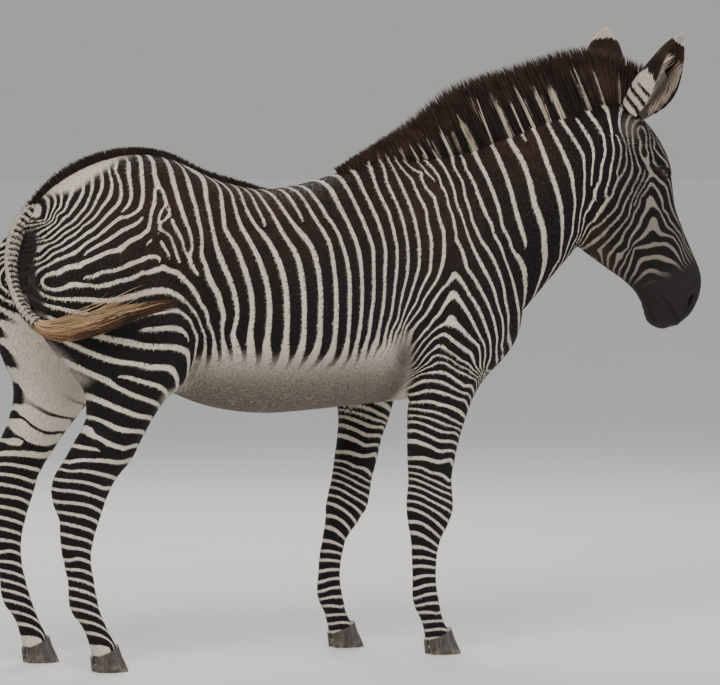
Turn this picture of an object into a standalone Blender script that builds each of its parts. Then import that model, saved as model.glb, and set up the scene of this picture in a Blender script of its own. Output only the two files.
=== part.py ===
"""Young Grevy's zebra, standing, as a still life-size model. Metres, +Z up, head towards +X, left side +Y.

The flesh is one body, lofted from rows of sections, evened out and parted by thin cuts into head, neck,
trunk, hindquarters and legs. Eyes, ears, mane, back ridge, tail and hooves are pieces of their own that
meet it across a fine gap. The rows are laid out with the right fore hoof near x = 0, and all of it is
then moved so that the middle of the animal's box stands over the origin.
"""

import math

import bmesh
import bpy
import numpy as np
from mathutils import Matrix, Vector

for thing in list(bpy.data.objects):
    bpy.data.objects.remove(thing)

GAP = 0.0003  # between pieces that meet
VOXEL = 0.010  # grain of the flesh while its lofts are joined
EVENING_ROUNDS = 50
FLESH_TRIANGLES = 4600
MOVE = (0.1405, 0.0345, 0.0)  # brings the middle of the box over the origin

# Trunk: x, top, bottom, height of the widest level, half width, fullness above and below that level
TRUNK = [
    (0.290, 0.935, 0.845, 0.890, 0.030, 2.0, 2.0),
    (0.262, 1.020, 0.770, 0.900, 0.100, 2.0, 2.0),
    (0.180, 1.140, 0.700, 0.880, 0.160, 2.0, 2.0),
    (0.080, 1.230, 0.662, 0.860, 0.185, 1.9, 2.0),
    (-0.050, 1.278, 0.648, 0.840, 0.198, 1.7, 2.1),
    (-0.180, 1.250, 0.640, 0.860, 0.215, 1.8, 2.2),
    (-0.320, 1.212, 0.630, 0.880, 0.240, 2.0, 2.2),
    (-0.450, 1.200, 0.626, 0.890, 0.250, 2.1, 2.2),
    (-0.580, 1.228, 0.645, 0.900, 0.245, 2.1, 2.1),
    (-0.700, 1.279, 0.690, 0.950, 0.225, 1.9, 2.0),
    (-0.800, 1.291, 0.740, 0.990, 0.208, 1.9, 2.0),
    (-0.900, 1.271, 0.780, 1.010, 0.190, 2.0, 2.0),
    (-0.990, 1.230, 0.840, 1.020, 0.165, 2.1, 2.0),
    (-1.055, 1.180, 0.900, 1.030, 0.130, 2.1, 2.0),
    (-1.090, 1.130, 0.950, 1.035, 0.085, 2.0, 2.0),
    (-1.105, 1.080, 0.990, 1.035, 0.030, 2.0, 2.0),
]

# Neck: crest x and z, throat x and z, sideways place, half width
NECK = [
    (-0.130, 1.240, 0.060, 0.740, 0.000, 0.150),
    (0.000, 1.275, 0.215, 0.800, 0.000, 0.138),
    (0.100, 1.285, 0.300, 0.862, 0.004, 0.118),
    (0.220, 1.318, 0.365, 0.925, 0.012, 0.102),
    (0.330, 1.358, 0.430, 0.985, 0.022, 0.090),
    (0.440, 1.395, 0.490, 1.040, 0.032, 0.082),
    (0.540, 1.425, 0.555, 1.095, 0.040, 0.074),
    (0.600, 1.425, 0.610, 1.170, 0.045, 0.066),
]

# Head, along its own line from the poll to the nose: way, top, bottom, widest level, half width, fullness
POLL = (0.622, 0.035, 1.408)
HEAD_PITCH, HEAD_YAW = -60.0, 6.0
HEAD = [
    (-0.030, -0.030, -0.130, -0.080, 0.050, 2.0, 2.0),
    (0.000, 0.005, -0.190, -0.070, 0.070, 2.0, 2.0),
    (0.060, 0.034, -0.258, -0.060, 0.088, 2.1, 2.0),
    (0.120, 0.046, -0.296, -0.050, 0.100, 2.2, 1.9),
    (0.180, 0.041, -0.310, -0.045, 0.106, 2.2, 1.9),
    (0.240, 0.025, -0.306, -0.055, 0.096, 2.1, 1.9),
    (0.300, 0.013, -0.278, -0.065, 0.078, 2.0, 1.9),
    (0.360, 0.008, -0.246, -0.070, 0.064, 2.0, 2.0),
    (0.420, 0.005, -0.214, -0.075, 0.056, 2.0, 2.0),
    (0.470, 0.003, -0.198, -0.085, 0.055, 2.1, 2.1),
    (0.515, -0.004, -0.200, -0.098, 0.057, 2.2, 2.2),
    (0.553, -0.028, -0.196, -0.112, 0.053, 2.2, 2.2),
    (0.582, -0.066, -0.184, -0.126, 0.040, 2.1, 2.1),
    (0.594, -0.098, -0.162, -0.131, 0.018, 2.0, 2.0),
]

# Legs, from above downwards: x, y, z, reach forwards, reach backwards, half width
FORE_RIGHT = [
    (-0.030, -0.075, 1.080, 0.080, 0.090, 0.050),
    (0.010, -0.110, 0.960, 0.130, 0.130, 0.070),
    (0.040, -0.132, 0.850, 0.150, 0.140, 0.075),
    (0.045, -0.142, 0.765, 0.125, 0.120, 0.074),
    (0.020, -0.145, 0.700, 0.095, 0.095, 0.068),
    (0.001, -0.143, 0.655, 0.088, 0.088, 0.060),
    (-0.010, -0.140, 0.604, 0.081, 0.079, 0.055),
    (-0.018, -0.138, 0.552, 0.073, 0.070, 0.051),
    (-0.022, -0.135, 0.500, 0.066, 0.064, 0.046),
    (-0.024, -0.133, 0.449, 0.061, 0.059, 0.042),
    (-0.025, -0.131, 0.390, 0.067, 0.062, 0.044),
    (-0.026, -0.130, 0.346, 0.061, 0.058, 0.039),
    (-0.033, -0.130, 0.295, 0.041, 0.043, 0.029),
    (-0.037, -0.130, 0.243, 0.034, 0.036, 0.025),
    (-0.037, -0.130, 0.190, 0.032, 0.034, 0.025),
    (-0.031, -0.130, 0.135, 0.034, 0.037, 0.030),
    (-0.016, -0.130, 0.090, 0.030, 0.031, 0.026),
    (0.000, -0.130, 0.050, 0.034, 0.034, 0.032),
    (0.010, -0.130, 0.010, 0.034, 0.034, 0.032),
]
FORE_LEFT = [
    (-0.050, 0.075, 1.080, 0.080, 0.090, 0.050),
    (-0.020, 0.110, 0.960, 0.130, 0.130, 0.070),
    (0.000, 0.132, 0.850, 0.150, 0.140, 0.075),
    (-0.005, 0.142, 0.765, 0.125, 0.120, 0.074),
    (-0.045, 0.145, 0.700, 0.095, 0.095, 0.068),
    (-0.072, 0.143, 0.642, 0.080, 0.078, 0.060),
    (-0.081, 0.140, 0.589, 0.069, 0.068, 0.055),
    (-0.095, 0.138, 0.538, 0.062, 0.060, 0.050),
    (-0.107, 0.135, 0.486, 0.060, 0.058, 0.046),
    (-0.119, 0.133, 0.434, 0.057, 0.056, 0.042),
    (-0.134, 0.131, 0.375, 0.060, 0.056, 0.043),
    (-0.147, 0.130, 0.331, 0.048, 0.046, 0.038),
    (-0.168, 0.130, 0.285, 0.034, 0.034, 0.028),
    (-0.180, 0.130, 0.232, 0.031, 0.032, 0.025),
    (-0.184, 0.130, 0.180, 0.030, 0.032, 0.025),
    (-0.180, 0.130, 0.132, 0.033, 0.036, 0.030),
    (-0.166, 0.130, 0.090, 0.030, 0.031, 0.026),
    (-0.151, 0.130, 0.050, 0.034, 0.034, 0.032),
    (-0.141, 0.130, 0.010, 0.034, 0.034, 0.032),
]
HIND_RIGHT = [
    (-0.880, -0.080, 1.160, 0.120, 0.120, 0.060),
    (-0.900, -0.110, 1.050, 0.190, 0.200, 0.095),
    (-0.905, -0.125, 0.950, 0.215, 0.225, 0.105),
    (-0.890, -0.138, 0.850, 0.205, 0.210, 0.108),
    (-0.872, -0.148, 0.770, 0.165, 0.170, 0.102),
    (-0.868, -0.150, 0.716, 0.132, 0.130, 0.092),
    (-0.882, -0.150, 0.679, 0.102, 0.104, 0.084),
    (-0.900, -0.150, 0.630, 0.085, 0.088, 0.074),
    (-0.928, -0.150, 0.581, 0.085, 0.088, 0.066),
    (-0.955, -0.146, 0.531, 0.088, 0.092, 0.057),
    (-0.985, -0.142, 0.485, 0.080, 0.090, 0.048),
    (-1.001, -0.140, 0.435, 0.070, 0.076, 0.044),
    (-1.004, -0.140, 0.383, 0.054, 0.054, 0.036),
    (-1.010, -0.140, 0.333, 0.044, 0.046, 0.030),
    (-1.010, -0.140, 0.283, 0.037, 0.038, 0.027),
    (-1.000, -0.140, 0.232, 0.034, 0.036, 0.027),
    (-0.988, -0.140, 0.160, 0.036, 0.040, 0.031),
    (-0.962, -0.140, 0.110, 0.031, 0.032, 0.027),
    (-0.940, -0.140, 0.060, 0.034, 0.034, 0.033),
    (-0.928, -0.140, 0.010, 0.034, 0.034, 0.033),
]
HIND_LEFT = [
    (-0.890, 0.080, 1.160, 0.120, 0.120, 0.060),
    (-0.915, 0.110, 1.050, 0.190, 0.200, 0.095),
    (-0.925, 0.125, 0.950, 0.210, 0.220, 0.105),
    (-0.920, 0.138, 0.850, 0.195, 0.200, 0.108),
    (-0.915, 0.148, 0.770, 0.155, 0.172, 0.102),
    (-0.925, 0.152, 0.716, 0.122, 0.136, 0.092),
    (-0.945, 0.152, 0.670, 0.098, 0.112, 0.084),
    (-0.975, 0.152, 0.622, 0.084, 0.094, 0.074),
    (-1.010, 0.150, 0.575, 0.080, 0.080, 0.066),
    (-1.040, 0.146, 0.531, 0.078, 0.080, 0.057),
    (-1.060, 0.142, 0.485, 0.066, 0.078, 0.048),
    (-1.070, 0.140, 0.435, 0.058, 0.062, 0.042),
    (-1.075, 0.140, 0.383, 0.046, 0.048, 0.034),
    (-1.080, 0.140, 0.333, 0.038, 0.040, 0.029),
    (-1.080, 0.140, 0.283, 0.034, 0.036, 0.026),
    (-1.070, 0.140, 0.225, 0.033, 0.035, 0.026),
    (-1.055, 0.140, 0.160, 0.036, 0.040, 0.031),
    (-1.030, 0.140, 0.110, 0.031, 0.032, 0.027),
    (-1.010, 0.140, 0.060, 0.034, 0.034, 0.033),
    (-0.998, 0.140, 0.010, 0.034, 0.034, 0.033),
]

# Mane: root x and z on the crest, tip x and z, sideways place, half width
MANE = [
    (-0.215, 1.238, -0.220, 1.254, 0.000, 0.008),
    (-0.160, 1.255, -0.168, 1.285, 0.000, 0.014),
    (-0.100, 1.270, -0.116, 1.315, 0.000, 0.020),
    (-0.045, 1.276, -0.078, 1.338, 0.000, 0.024),
    (0.030, 1.278, -0.028, 1.370, 0.002, 0.026),
    (0.098, 1.284, 0.032, 1.412, 0.008, 0.028),
    (0.180, 1.304, 0.102, 1.462, 0.012, 0.028),
    (0.265, 1.336, 0.188, 1.492, 0.018, 0.028),
    (0.380, 1.372, 0.305, 1.520, 0.026, 0.028),
    (0.500, 1.408, 0.432, 1.556, 0.032, 0.028),
    (0.575, 1.422, 0.535, 1.566, 0.035, 0.028),
    (0.615, 1.412, 0.625, 1.546, 0.036, 0.026),
    (0.650, 1.392, 0.700, 1.512, 0.038, 0.022),
    (0.676, 1.365, 0.735, 1.462, 0.040, 0.012),
]
MANE_SINK = 0.030  # how far below its root the mane's blade starts

RIDGE_SINK = 0.012

# Ridge of longer hair over the rump: root x and z, tip x and z, sideways place, half width
RIDGE = [
    (-0.480, 1.190, -0.480, 1.218, 0.000, 0.010),
    (-0.600, 1.222, -0.602, 1.252, 0.000, 0.014),
    (-0.700, 1.266, -0.706, 1.298, 0.000, 0.016),
    (-0.800, 1.278, -0.808, 1.310, 0.000, 0.016),
    (-0.900, 1.256, -0.915, 1.290, 0.000, 0.016),
    (-0.990, 1.212, -1.005, 1.244, 0.000, 0.015),
    (-1.050, 1.165, -1.066, 1.188, 0.000, 0.012),
    (-1.078, 1.135, -1.094, 1.152, 0.000, 0.008),
]

# Tail: x, y, z, radius. The dock hangs behind the rump, the tuft is swept round the right thigh.
TAIL = [
    (-1.020, 0.000, 1.140, 0.022),
    (-1.068, 0.000, 1.143, 0.026),
    (-1.112, -0.006, 1.098, 0.022),
    (-1.136, -0.022, 1.024, 0.018),
    (-1.142, -0.062, 0.955, 0.016),
    (-1.136, -0.115, 0.902, 0.016),
    (-1.114, -0.165, 0.866, 0.018),
    (-1.085, -0.215, 0.858, 0.031),
    (-1.038, -0.260, 0.868, 0.033),
    (-0.970, -0.290, 0.888, 0.025),
    (-0.909, -0.304, 0.906, 0.016),
    (-0.850, -0.311, 0.916, 0.009),
    (-0.806, -0.313, 0.918, 0.004),
]
DOCK_ROWS = 7  # rows of the tail that belong to the dock

# Ears: way up the ear, radius of its cup, half angle of its curl, how far its middle line bows back
EAR_LENGTH = 0.246
EAR_THICKNESS = 0.005
EAR = [
    (0.00, 0.032, 150, 0.000),
    (0.12, 0.044, 140, -0.006),
    (0.28, 0.056, 126, -0.015),
    (0.45, 0.060, 112, -0.022),
    (0.62, 0.055, 100, -0.022),
    (0.78, 0.045, 90, -0.017),
    (0.90, 0.031, 82, -0.010),
    (0.97, 0.019, 76, -0.004),
    (1.00, 0.008, 70, -0.002),
]
EAR_ROOT = (0.020, 0.055, -0.012)  # way, side, level on the head
EAR_AXES = {"right": (0.492, -0.240, 0.837), "left": (0.160, 0.350, 0.905)}
EAR_MOUTHS = {"right": (0.339, -0.833, -0.408), "left": (0.158, 0.886, -0.408)}

# Eyes and hooves
EYE = (0.186, 0.0870, -0.028)  # way, side, level on the head
EYE_RADIUS = 0.0195
HOOF_LENGTH, HOOF_WIDTH = 0.094, 0.080
CORONET = 0.052  # height of the hoof's upper rim at its middle
CORONET_TILT = 24  # degrees, higher in front
HOOVES = {
    "fore_right": (0.010, -0.130),
    "fore_left": (-0.141, 0.130),
    "hind_right": (-0.928, -0.140),
    "hind_left": (-0.998, 0.140),
}

# Thin cuts that part the flesh: middle, size along x, y and z, pitch
CUTS = [
    ((0.548, 0.030, 1.235), (GAP, 0.40, 0.62), -14),
    ((0.185, 0.000, 1.085), (GAP, 0.50, 0.60), 28),
    ((-0.640, 0.000, 0.960), (GAP, 0.70, 0.90), 0),
    ((-0.010, -0.150, 0.630), (0.220, 0.180, GAP), 0),
    ((-0.080, 0.150, 0.628), (0.220, 0.180, GAP), 0),
    ((-0.950, -0.160, 0.662), (0.420, 0.240, GAP), 0),
    ((-0.970, 0.160, 0.662), (0.420, 0.240, GAP), 0),
]
# Flesh pieces after the cuts, each known by the middle of its box, roughly
FLESH_NAMES = {
    "head": (0.70, 0.04, 1.11),
    "neck": (0.34, 0.00, 1.14),
    "trunk": (-0.17, 0.00, 0.95),
    "hindquarters": (-0.89, 0.00, 0.97),
    "fore_leg_right": (-0.03, -0.14, 0.33),
    "fore_leg_left": (-0.11, 0.14, 0.33),
    "hind_leg_right": (-0.93, -0.15, 0.35),
    "hind_leg_left": (-1.00, 0.15, 0.35),
}

# Swells and hollows of muscle and bone on both sides: middle, reach along x, y and z, height
SWELLS = [
    ((0.120, 0.190, 0.880), (0.100, 0.080, 0.110), 0.012),
    ((0.010, 0.190, 1.050), (0.060, 0.080, 0.160), 0.010),
    ((-0.110, 0.210, 0.980), (0.050, 0.080, 0.160), -0.008),
    ((0.000, 0.190, 0.740), (0.060, 0.060, 0.060), 0.008),
    ((-0.700, 0.230, 1.090), (0.070, 0.080, 0.060), 0.012),
    ((-0.640, 0.230, 0.930), (0.070, 0.080, 0.120), -0.012),
    ((-0.770, 0.230, 0.790), (0.070, 0.070, 0.080), 0.012),
    ((-1.060, 0.130, 1.000), (0.060, 0.080, 0.120), 0.010),
    ((-0.950, 0.200, 1.080), (0.060, 0.060, 0.060), -0.006),
]

# Colour and roughness of each kind of piece
COAT = ((0.30, 0.27, 0.25), 0.75)
HAIR = ((0.045, 0.030, 0.022), 0.80)
BLOND = ((0.55, 0.36, 0.19), 0.70)
HORN = ((0.060, 0.055, 0.050), 0.45)
EYE_GLASS = ((0.020, 0.010, 0.008), 0.08)

collection = bpy.data.collections.new("grevys_zebra")
bpy.context.scene.collection.children.link(collection)
helpers = bpy.data.collections.new("cutters")
bpy.context.scene.collection.children.link(helpers)


def between(rows, steps):
    """Rows read from a smooth curve (Catmull-Rom) through the given rows, `steps` to each gap."""
    rows = np.asarray(rows, float)
    ends = np.vstack([2 * rows[0] - rows[1], rows, 2 * rows[-1] - rows[-2]])
    t = np.linspace(0, len(rows) - 1, (len(rows) - 1) * steps + 1)
    i = np.minimum(t.astype(int), len(rows) - 2)
    u = (t - i)[:, None]
    a, b, c, d = (ends[i + k] for k in range(4))
    return b + 0.5 * u * (c - a + u * (2 * a - 5 * b + 4 * c - d + u * (3 * (b - c) + d - a)))


def directions(pitch, yaw):
    """Unit vectors ahead, to the left and upwards of a line with this pitch and yaw, in degrees."""
    p, q = np.radians(pitch), np.radians(yaw)
    ahead = np.stack([np.cos(p) * np.cos(q), np.cos(p) * np.sin(q), np.sin(p)], -1)
    left = np.stack([-np.sin(q), np.cos(q), 0 * q], -1)
    return ahead, left, np.cross(ahead, left)


def add(name, mesh, look=COAT):
    """A piece of the animal with its own material."""
    colour, roughness = look
    material = bpy.data.materials.new(name)
    material.use_nodes = True
    surface = material.node_tree.nodes["Principled BSDF"]
    surface.inputs["Base Color"].default_value = (*colour, 1)
    surface.inputs["Roughness"].default_value = roughness
    surface.inputs["Metallic"].default_value = 0.0
    mesh.materials.clear()
    mesh.materials.append(material)
    mesh.shade_smooth()
    obj = bpy.data.objects.new(name, mesh)
    collection.objects.link(obj)
    return obj


def helper(name, mesh):
    """A cutter, kept out of the model."""
    obj = bpy.data.objects.new(name, mesh)
    helpers.objects.link(obj)
    obj.hide_render = True
    obj.display_type = "WIRE"
    return obj


def mesh_from(name, shape):
    mesh = bpy.data.meshes.new(name)
    shape.to_mesh(mesh)
    shape.free()
    return mesh


def outward(mesh):
    """Turns all faces of a closed mesh to look out."""
    shape = bmesh.new()
    shape.from_mesh(mesh)
    bmesh.ops.remove_doubles(shape, verts=shape.verts, dist=0.00001)
    bmesh.ops.recalc_face_normals(shape, faces=shape.faces)
    shape.to_mesh(mesh)
    shape.free()
    return mesh


def modify(obj, kind, **settings):
    """The object with one modifier made real."""
    modifier = obj.modifiers.new(kind.title(), kind)
    for key, value in settings.items():
        setattr(modifier, key, value)
    graph = bpy.context.evaluated_depsgraph_get()
    mesh = bpy.data.meshes.new_from_object(obj.evaluated_get(graph))
    obj.modifiers.clear()
    obj.data = mesh
    return obj


def cut(obj, tool):
    """Takes the tool's solid out of the object and then drops the tool."""
    modify(obj, "BOOLEAN", operation="DIFFERENCE", object=tool, solver="MANIFOLD")
    bpy.data.objects.remove(tool)
    return obj


def grown(obj):
    """A cutter a little larger than the object, which leaves the gap between pieces."""
    return modify(helper(obj.name + "_grown", obj.data.copy()), "DISPLACE", strength=6 * GAP, mid_level=0)


def loft_mesh(name, rows, steps=4, sides=32):
    """Closed tube of rings. Row: x, y, z, pitch, yaw, reach up, reach down, half width, fullness up, down.

    A ring's point at angle a lies half width * cos(a)^(2/fullness) to the left of the row's middle and
    reach * sin(a)^(2/fullness) above it, with signs kept, so that fullness 2 is an ellipse.
    """
    r = between(rows, steps)
    ahead, left, upward = directions(r[:, 3], r[:, 4])
    angle = np.linspace(0, 2 * np.pi, sides, endpoint=False)
    cosine, sine = np.cos(angle)[None], np.sin(angle)[None]
    fullness = np.where(sine >= 0, r[:, 8:9], r[:, 9:10])
    reach = np.where(sine >= 0, r[:, 5:6], r[:, 6:7])
    across = r[:, 7:8] * np.sign(cosine) * np.abs(cosine) ** (2 / fullness)
    up = reach * np.sign(sine) * np.abs(sine) ** (2 / fullness)
    rings = r[:, None, :3] + across[..., None] * left[:, None] + up[..., None] * upward[:, None]
    points = np.vstack([rings.reshape(-1, 3), r[0, :3], r[-1, :3]])
    ring, place = np.divmod(np.arange((len(r) - 1) * sides), sides)
    here, beside = ring * sides + place, ring * sides + (place + 1) % sides
    walls = np.stack([here, beside, beside + sides, here + sides], 1).tolist()
    first, last = len(points) - 2, len(points) - 1
    end = (len(r) - 1) * sides
    caps = [(first, (j + 1) % sides, j) for j in range(sides)]
    caps += [(last, end + j, end + (j + 1) % sides) for j in range(sides)]
    mesh = bpy.data.meshes.new(name)
    mesh.from_pydata(points.tolist(), [], walls + caps)
    return outward(mesh)


def trunk_rows():
    return [(x, 0, wide, 0, 0, top - wide, wide - low, half, high_fullness, low_fullness)
            for x, top, low, wide, half, high_fullness, low_fullness in TRUNK]


def neck_rows():
    """Each section spans from the throat to the crest and is square to the line between them."""
    rows = []
    for crest_x, crest_z, throat_x, throat_z, side, half in NECK:
        reach = math.hypot(crest_x - throat_x, crest_z - throat_z) / 2
        pitch = math.degrees(math.atan2(throat_x - crest_x, crest_z - throat_z))
        middle = ((crest_x + throat_x) / 2, side, (crest_z + throat_z) / 2)
        rows.append((*middle, pitch, 0, reach, reach, half, 1.8, 2.2))
    return rows


def head_point(way, side, level):
    """Place on the head: way along it from the poll, side to the left, level above its line."""
    ahead, left, upward = directions(np.float64(HEAD_PITCH), np.float64(HEAD_YAW))
    return np.array(POLL) + way * ahead + side * left + level * upward


def head_rows():
    return [(*head_point(way, 0, wide), HEAD_PITCH, HEAD_YAW, top - wide, wide - low, half, high, deep)
            for way, top, low, wide, half, high, deep in HEAD]


def leg_rows(rows):
    return [(x, y, z, -90, 0, front, back, half, 2.1, 2.0) for x, y, z, front, back, half in rows]


def strip_rows(rows, sink, fullness):
    """Rows for a blade of hair on a crest: it starts `sink` below each root and ends at the tip."""
    blade = []
    for root_x, root_z, tip_x, tip_z, side, half in rows:
        reach = (math.hypot(tip_x - root_x, tip_z - root_z) + sink) / 2
        lean = math.atan2(root_x - tip_x, tip_z - root_z)
        middle = (tip_x + reach * math.sin(lean), side, tip_z - reach * math.cos(lean))
        blade.append((*middle, math.degrees(lean), 0, reach, reach, half, 1.7, fullness))
    return blade


def relax(mesh, rounds):
    """Evens the surface without shrinking it: each round moves points to their neighbours' mean and back."""
    count = len(mesh.vertices)
    points = np.empty(count * 3)
    mesh.vertices.foreach_get("co", points)
    points = points.reshape(-1, 3)
    edges = np.empty(len(mesh.edges) * 2, np.int32)
    mesh.edges.foreach_get("vertices", edges)
    a, b = edges.reshape(-1, 2).T
    degree = (np.bincount(a, minlength=count) + np.bincount(b, minlength=count))[:, None]
    for share in (0.5, -0.53) * rounds:
        total = np.stack([np.bincount(a, points[b, axis], count) + np.bincount(b, points[a, axis], count)
                          for axis in range(3)], 1)
        points += share * (total / degree - points)
    mesh.vertices.foreach_set("co", points.ravel())
    mesh.update()


def swell(mesh, rows):
    """Moves each point along its normal by height times a bell of its distance from each middle."""
    count = len(mesh.vertices)
    points = np.empty(count * 3)
    mesh.vertices.foreach_get("co", points)
    points = points.reshape(-1, 3)
    normals = np.empty(count * 3, np.float32)
    mesh.vertex_normals.foreach_get("vector", normals)
    either_side = np.stack([points[:, 0], np.abs(points[:, 1]), points[:, 2]], 1)
    rise = np.zeros(count)
    for middle, reach, height in rows:
        rise += height * np.exp(-(((either_side - middle) / reach) ** 2).sum(1))
    points += normals.reshape(-1, 3) * rise[:, None]
    mesh.vertices.foreach_set("co", points.ravel())
    mesh.update()


def make_flesh():
    """All lofts of flesh as one closed, evened body."""
    whole = bmesh.new()
    for mesh in (
        loft_mesh("trunk", trunk_rows()),
        loft_mesh("neck", neck_rows()),
        loft_mesh("head", head_rows()),
        loft_mesh("fore_right", leg_rows(FORE_RIGHT), sides=24),
        loft_mesh("fore_left", leg_rows(FORE_LEFT), sides=24),
        loft_mesh("hind_right", leg_rows(HIND_RIGHT), sides=24),
        loft_mesh("hind_left", leg_rows(HIND_LEFT), sides=24),
    ):
        whole.from_mesh(mesh)
        bpy.data.meshes.remove(mesh)
    body = helper("flesh", mesh_from("flesh", whole))
    modify(body, "REMESH", mode="VOXEL", voxel_size=VOXEL)
    relax(body.data, EVENING_ROUNDS)
    swell(body.data, SWELLS)
    triangles = 2 * len(body.data.polygons)
    return modify(body, "DECIMATE", ratio=FLESH_TRIANGLES / triangles)


def box(name, middle, size, pitch):
    """A box turned by `pitch` degrees about the Y axis, rising at its +X end."""
    shape = bmesh.new()
    bmesh.ops.create_cube(shape, size=1)
    turn = Matrix.Rotation(math.radians(-pitch), 4, "Y")
    place = Matrix.Translation(middle) @ turn @ Matrix.Diagonal((*size, 1))
    bmesh.ops.transform(shape, verts=shape.verts, matrix=place)
    return helper(name, mesh_from(name, shape))


def ball(name, middle, radius):
    shape = bmesh.new()
    bmesh.ops.create_uvsphere(shape, u_segments=14, v_segments=9, radius=radius)
    bmesh.ops.translate(shape, verts=shape.verts, vec=Vector(middle))
    return mesh_from(name, shape)


def make_hoof(place, x, y):
    """Hoof with a flat sole and a sloping wall, parted from the leg along the coronet's slanting plane."""
    rows = [
        (x + 0.006, y, 0.000, 0.50, 0.50, 0.50),
        (x + 0.003, y, 0.012, 0.49, 0.48, 0.49),
        (x - 0.006, y, 0.040, 0.44, 0.42, 0.44),
        (x - 0.014, y, 0.080, 0.38, 0.40, 0.40),
    ]
    rings = [(a, b, c, 90, 0, back * HOOF_LENGTH, front * HOOF_LENGTH, half * HOOF_WIDTH, 2.2, 2.2)
             for a, b, c, front, back, half in rows]
    hoof = add("hoof_" + place, loft_mesh("hoof_" + place, rings, steps=1, sides=16), HORN)
    tilt = math.radians(CORONET_TILT)
    size = 0.12
    for piece, way in ((hoof, 1), (flesh, -1)):
        lift = way * (size - GAP) / 2
        middle = (x - 0.008 - lift * math.sin(tilt), y, CORONET + lift * math.cos(tilt))
        cut(piece, box("coronet", middle, (size, size, size), CORONET_TILT))


def make_eye(side, sign):
    """Eyeball in a socket of the head."""
    middle = head_point(EYE[0], sign * EYE[1], EYE[2])
    add("eye_" + side, ball("eye_" + side, middle, EYE_RADIUS), EYE_GLASS)
    cut(flesh, helper("socket_" + side, ball("socket_" + side, middle, EYE_RADIUS + GAP)))


def make_ear(side, sign):
    """Cupped leaf: arcs with the rows' radius and curl, stacked along the axis, open towards the mouth."""
    axis = Vector(EAR_AXES[side]).normalized()
    mouth = Vector(EAR_MOUTHS[side])
    mouth = (mouth - mouth.dot(axis) * axis).normalized()
    across = np.array(axis.cross(mouth))
    root = head_point(EAR_ROOT[0], sign * EAR_ROOT[1], EAR_ROOT[2])
    way, radius, curl, bow = np.array(EAR).T[:, :, None]
    angle = np.radians(curl) * np.linspace(-1, 1, 10)
    points = (
        root + (way * EAR_LENGTH)[..., None] * np.array(axis)
        - (radius * np.cos(angle) + bow)[..., None] * np.array(mouth)
        + (radius * np.sin(angle))[..., None] * across
    )
    rows, columns = angle.shape
    i, j = np.meshgrid(np.arange(rows - 1), np.arange(columns - 1), indexing="ij")
    k = (i * columns + j).ravel()
    mesh = bpy.data.meshes.new("ear_" + side)
    faces = np.stack([k, k + 1, k + columns + 1, k + columns], 1)
    mesh.from_pydata(points.reshape(-1, 3).tolist(), [], faces.tolist())
    ear = modify(add("ear_" + side, mesh, COAT), "SOLIDIFY", thickness=EAR_THICKNESS, offset=0)
    outward(ear.data)
    return cut(ear, grown(flesh))


def thread(name, points, look):
    """Closed round piece along a line of x, y, z, radius."""
    curve = bpy.data.curves.new(name, "CURVE")
    curve.dimensions = "3D"
    curve.bevel_depth = 1.0
    curve.bevel_resolution = 2
    curve.use_fill_caps = True
    spline = curve.splines.new("POLY")
    spline.points.add(len(points) - 1)
    for point, (x, y, z, radius) in zip(spline.points, points):
        point.co = (x, y, z, 1)
        point.radius = radius
    guide = helper(name + "_line", curve)
    mesh = bpy.data.meshes.new_from_object(guide.evaluated_get(bpy.context.evaluated_depsgraph_get()))
    bpy.data.objects.remove(guide)
    return add(name, outward(mesh), look)


def make_tail():
    """Dock and tuft on one line; the tuft starts square to the dock's end."""
    steps = 2
    line = between(TAIL, steps)
    end = (DOCK_ROWS - 1) * steps
    dock = cut(thread("tail_dock", line[:end + 1], COAT), grown(flesh))
    way = (line[end] - line[end - 1]) * (1, 1, 1, 0)
    way /= np.linalg.norm(way)
    start = [line[end] + GAP * way, line[end] + 0.008 * way]
    tuft = thread("tail_tuft", np.vstack([start, line[end + 1:]]), BLOND)
    cut(tuft, grown(flesh))
    return dock


def part_flesh():
    """Cuts the flesh and makes a piece of each loose body, named by its nearest known place."""
    for number, (middle, size, pitch) in enumerate(CUTS):
        cut(flesh, box(f"cut_{number}", middle, size, pitch))
    whole = bmesh.new()
    whole.from_mesh(flesh.data)
    while whole.faces:
        whole.faces.ensure_lookup_table()
        body, edge = {whole.faces[0]}, [whole.faces[0]]
        while edge:
            face = edge.pop()
            fresh = {other for side in face.edges for other in side.link_faces} - body
            body |= fresh
            edge += fresh
        points = np.array([vertex.co[:] for face in body for vertex in face.verts])
        middle = (points.min(0) + points.max(0)) / 2
        name = min(FLESH_NAMES, key=lambda key: np.linalg.norm(middle - FLESH_NAMES[key]))
        piece = whole.copy()
        piece.faces.ensure_lookup_table()
        kept = {face.index for face in body}
        gone = [face for face in piece.faces if face.index not in kept]
        bmesh.ops.delete(piece, geom=gone, context="FACES")
        add(name, outward(mesh_from(name, piece)))
        bmesh.ops.delete(whole, geom=list(body), context="FACES")
        whole.faces.index_update()
    whole.free()
    bpy.data.objects.remove(flesh)


flesh = make_flesh()
for place, (x, y) in HOOVES.items():
    make_hoof(place, x, y)
for side, sign in (("right", -1), ("left", 1)):
    make_eye(side, sign)
mane = cut(add("mane", loft_mesh("mane", strip_rows(MANE, MANE_SINK, 3.0), 2, 10), HAIR), grown(flesh))
for side, sign in (("right", -1), ("left", 1)):
    cut(make_ear(side, sign), grown(mane))
dock = make_tail()
ridge = add("back_ridge", loft_mesh("back_ridge", strip_rows(RIDGE, RIDGE_SINK, 2.0), 1, 8), HAIR)
cut(cut(ridge, grown(flesh)), grown(dock))
part_flesh()
for piece in collection.objects:
    piece.data.transform(Matrix.Translation(MOVE))
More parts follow.
